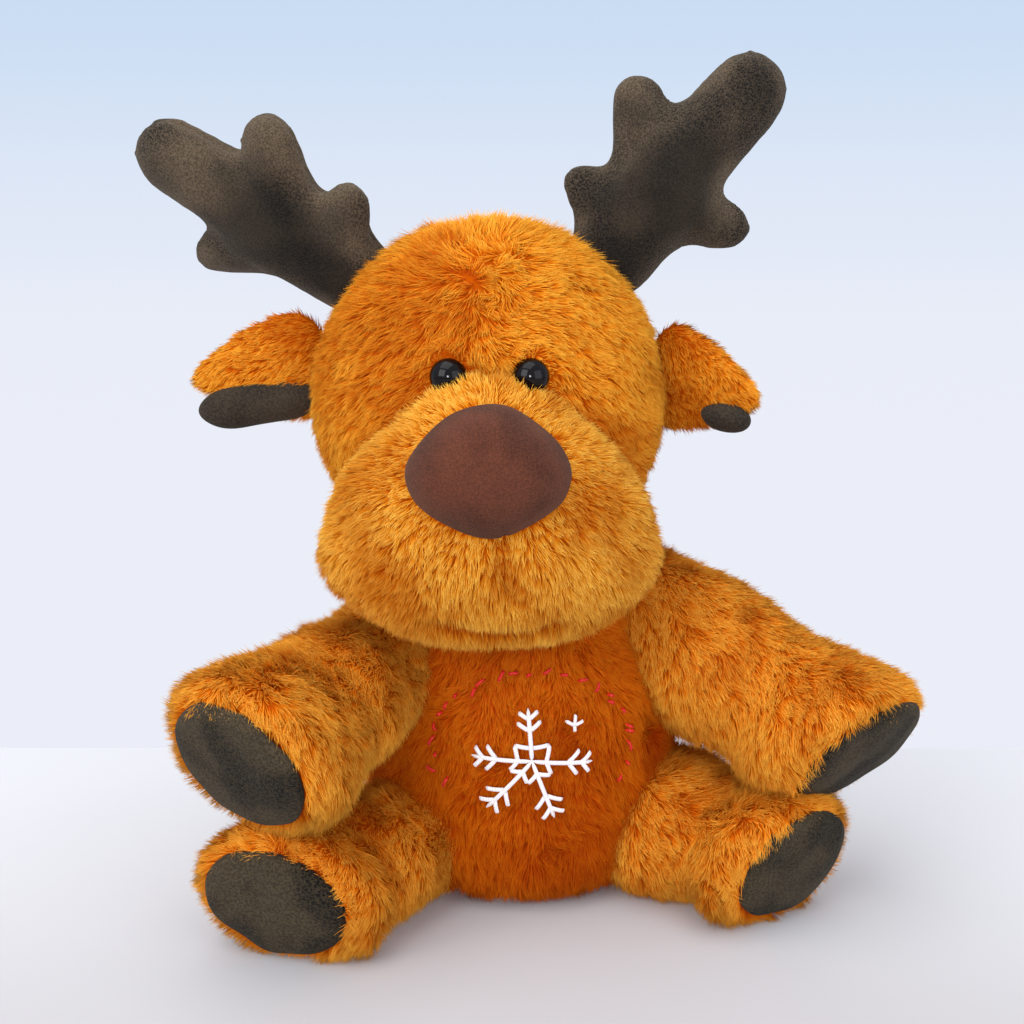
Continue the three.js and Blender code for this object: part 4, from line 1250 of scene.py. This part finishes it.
def stitches(name, strokes, wide, thick, out, dive, finish):
    """All strokes at once: a path between two points, lifted in the middle, and a flat ring round each path point."""
    strokes = np.asarray(strokes, float)
    t = np.linspace(0, 1, STEPS)[None, :, None]
    flat = strokes[:, None, 0] * (1 - t) + strokes[:, None, 1] * t
    lift = out + dive * (np.sin(np.pi * t[..., 0]) ** 0.35 - 1) + 0 * flat[..., 0]
    path, away = belly_point(flat[..., 0], flat[..., 1], lift[..., None])
    along = unit(np.gradient(path, axis=1))
    beside = unit(np.cross(along, away))
    size = np.clip(np.sin(np.pi * (0.02 + 0.96 * t)) * 3, 0.25, 1)
    a = full_turn(RING)[0]
    ring = (np.cos(a)[:, None] * beside[:, :, None] * wide / 2 + np.sin(a)[:, None] * away[:, :, None] * thick / 2)
    p = path[:, :, None] + ring * size[..., None]
    faces = (np.arange(len(strokes))[:, None, None] * STEPS * RING + grid_faces(STEPS, RING)).reshape(-1, 4)
    obj = piece(name, p.reshape(-1, 3), faces, "torso", finish)
    span = np.linalg.norm(strokes[:, 1] - strokes[:, 0], axis=1)[:, None, None]
    mark(obj.data, "run", span * t + np.zeros((1, 1, RING)))
    print(f"{name}: {len(strokes)} stitches")
    return obj


print("middle of the star on the belly:", np.round(belly_point(*STITCH_MIDDLE, 0.0)[0], 1), "mm")


# %% Stars and running stitches
def frost_star(middle, tips, branches, ring=()):
    """Arms from the middle to each tip, pairs of twigs at shares of the arm, and a zigzag ring of two radii."""
    lines = []
    if ring:
        ways = unit(np.asarray(tips, float))
        near, far = middle + ways * ring[0], middle + unit(ways + np.roll(ways, -1, 0)) * ring[1]
        lines += [*zip(near, far), *zip(far, np.roll(near, -1, 0))]
    for tip in np.asarray(tips, float):
        lines.append((middle, middle + tip))
        side = np.array([-tip[1], tip[0]])
        for share, size in branches:
            foot = middle + tip * share
            lines += [(foot, foot + tip * size * 0.8 + side * size), (foot, foot + tip * size * 0.8 - side * size)]
    return lines


STAR_ARMS = [(-1.3, 17.0), (19.2, -1.6), (7.2, -20.0), (-14.5, -16.4), (-19.0, 1.3)]
STAR_TWIGS = [(0.58, 0.22), (0.8, 0.18)]
large_star = frost_star(STITCH_MIDDLE, STAR_ARMS, STAR_TWIGS, ring=(4.4, 7.6))
stitches("frost_star", large_star, 1.5, 0.9, 4.6, 1.5, white_thread)
SMALL_ARMS = [(0.4, 3.4), (3.0, 1.2), (-2.6, 1.6), (0.2, -2.2)]
small_star = frost_star(STITCH_MIDDLE + [13.0, 11.0], SMALL_ARMS, [])
stitches("small_star", small_star, 1.2, 0.9, 4.6, 1.0, white_thread)
RUNNING = 25
r = np.random.default_rng(201)
turn = np.radians(np.linspace(205, -25, RUNNING))
arc = STITCH_MIDDLE + np.stack([32 * np.cos(turn), 2 + 26 * np.sin(turn)], -1) + r.normal(0, 0.7, (RUNNING, 2))
slant = turn + r.normal(0, 0.5, RUNNING)
way = np.stack([-np.sin(slant), np.cos(slant)], -1) * r.uniform(0.8, 2.2, (RUNNING, 1))
stitches("red_running_stitches", np.stack([arc - way, arc + way], 1), 1.1, 0.8, 3.7, 1.8, red_thread)

# %% [markdown]
# ## Floor, light and camera
#
# The toy sits on a pale table in front of a pale wall. One large floor does for both: past the table's edge it shows
# the wall's colour only to rays from the camera and to mirrored ones, so nothing stands in the way of a view from
# behind.


# %% Floor
def looked_along(tree):
    """1 for rays from the camera and for mirrored or refracted ones, 0 for rays that only carry light."""
    rays = node(tree, "ShaderNodeLightPath").outputs
    seen = sums(tree, "MAXIMUM", rays["Is Camera Ray"], rays["Is Glossy Ray"])
    return sums(tree, "MAXIMUM", seen, rays["Is Transmission Ray"])


FLOOR_EDGE, FLOOR_HALF = 0.114, 6
corners = [(-FLOOR_HALF, -FLOOR_HALF, 0), (FLOOR_HALF, -FLOOR_HALF, 0), (FLOOR_HALF, FLOOR_HALF, 0),
           (-FLOOR_HALF, FLOOR_HALF, 0)]
floor_mesh = bpy.data.meshes.new("floor")
floor_mesh.from_pydata(corners, [], [(0, 1, 2, 3)])
floor = put("floor", floor_mesh)
floor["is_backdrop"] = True
table_top, tree, top = new_material("pale_table")
depth = node(tree, "ShaderNodeSeparateXYZ", {0: node(tree, "ShaderNodeTexCoord").outputs["Object"]}).outputs["Y"]
beyond = eased(tree, depth, FLOOR_EDGE - 0.001, FLOOR_EDGE + 0.001)
wall_share = sums(tree, "MULTIPLY", looked_along(tree), beyond)
wall_colour = mixed(tree, eased(tree, depth, 0.3, 6.0), paint(235, 238, 248), paint(226, 233, 247))
wall = node(tree, "ShaderNodeEmission", {"Color": wall_colour, "Strength": 1.0})
# Painted shade: the table is darker towards the front.
table_colour_with_painted_shade = mixed(tree, eased(tree, depth, -0.3, 0.12), paint(168, 165, 168), paint(209, 212, 219))
feed(tree, top, {"Base Color": table_colour_with_painted_shade, "Roughness": 0.6, "Specular IOR Level": 0.2})
shown = node(tree, "ShaderNodeMixShader", {0: wall_share, 1: top.outputs[0], 2: wall.outputs[0]})
tree.links.new(shown.outputs[0], tree.nodes["Material Output"].inputs["Surface"])
floor_mesh.materials.append(table_top)
print("the table ends at", FLOOR_EDGE, "m")

# %% [markdown]
# An even sky lights the toy from all sides. Four lamps add soft direction: a wide window lamp from the left, a weaker
# fill from the right, one from the ceiling, and a small one in front that gives the eyes their glint.

# %% Sky
world = bpy.data.worlds.new("studio")
bpy.context.scene.world = world
world.use_nodes = True
tree = world.node_tree
up = node(tree, "ShaderNodeSeparateXYZ", {0: node(tree, "ShaderNodeTexCoord").outputs["Generated"]}).outputs["Z"]
wall_colour = mixed(tree, eased(tree, up, -0.05, 0.13), paint(226, 233, 247), paint(200, 220, 243))
sky = node(tree, "ShaderNodeBackground", {"Color": (0.97, 0.95, 0.95, 1), "Strength": 0.93})
backdrop = node(tree, "ShaderNodeBackground", {"Color": wall_colour, "Strength": 1.0})
shown = node(tree, "ShaderNodeMixShader", {0: looked_along(tree), 1: sky.outputs[0], 2: backdrop.outputs[0]})
tree.links.new(shown.outputs[0], tree.nodes["World Output"].inputs["Surface"])
print("sky:", world.name)


# %% Lamps
def lamp(name, place, aim, size, power, colour):
    """A square area lamp that looks at a point."""
    light = bpy.data.lights.new(name, "AREA")
    light.size, light.energy, light.color = size, power, colour
    obj = put(name, light)
    obj.location = place
    obj.rotation_euler = (Vector(aim) - Vector(place)).to_track_quat("-Z", "Y").to_euler()
    print(f"{name}: {power} W over {size} m")


LAMP_AIM, CATCH_AIM = (0, 0, 0.14), (0, 0, 0.18)
lamp("window_lamp", (-0.85, -1.1, 0.78), LAMP_AIM, 0.9, 10.8, (1.0, 0.98, 0.95))
lamp("fill_lamp", (0.9, -1.0, 0.5), LAMP_AIM, 1.0, 5.4, (0.95, 0.97, 1.0))
lamp("ceiling_lamp", (-0.2, -0.3, 1.25), LAMP_AIM, 1.0, 7.0, (1.0, 1.0, 1.0))
lamp("catch_lamp", (-0.05, -1.0, 0.3), CATCH_AIM, 0.15, 2.6, (1.0, 1.0, 1.0))

# %% [markdown]
# The camera stands a little above the toy's middle and looks down at it, as one would hold it over a table.

# %% Camera
AIM = Vector((-0.0029, 0.0, 0.1318))
ELEVATION, DISTANCE = np.radians(12), 0.560
camera_data = bpy.data.cameras.new("camera")
camera_data.sensor_width, camera_data.lens = 36.0, 55.125
camera = put("camera", camera_data)
camera.location = AIM + Vector((0, -np.cos(ELEVATION), np.sin(ELEVATION))) * DISTANCE
camera.rotation_euler = (AIM - camera.location).to_track_quat("-Z", "Y").to_euler()
bpy.context.scene.camera = camera
bpy.context.scene.view_settings.view_transform = "Standard"
print("camera at", [round(v, 3) for v in camera.location])

# %% [markdown]
# Last, the size of the dressed toy is printed.

# %% Size of the dressed toy
low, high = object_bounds()
print("visual box in mm:", [round(v / MM, 1) for v in (*low, *high)])
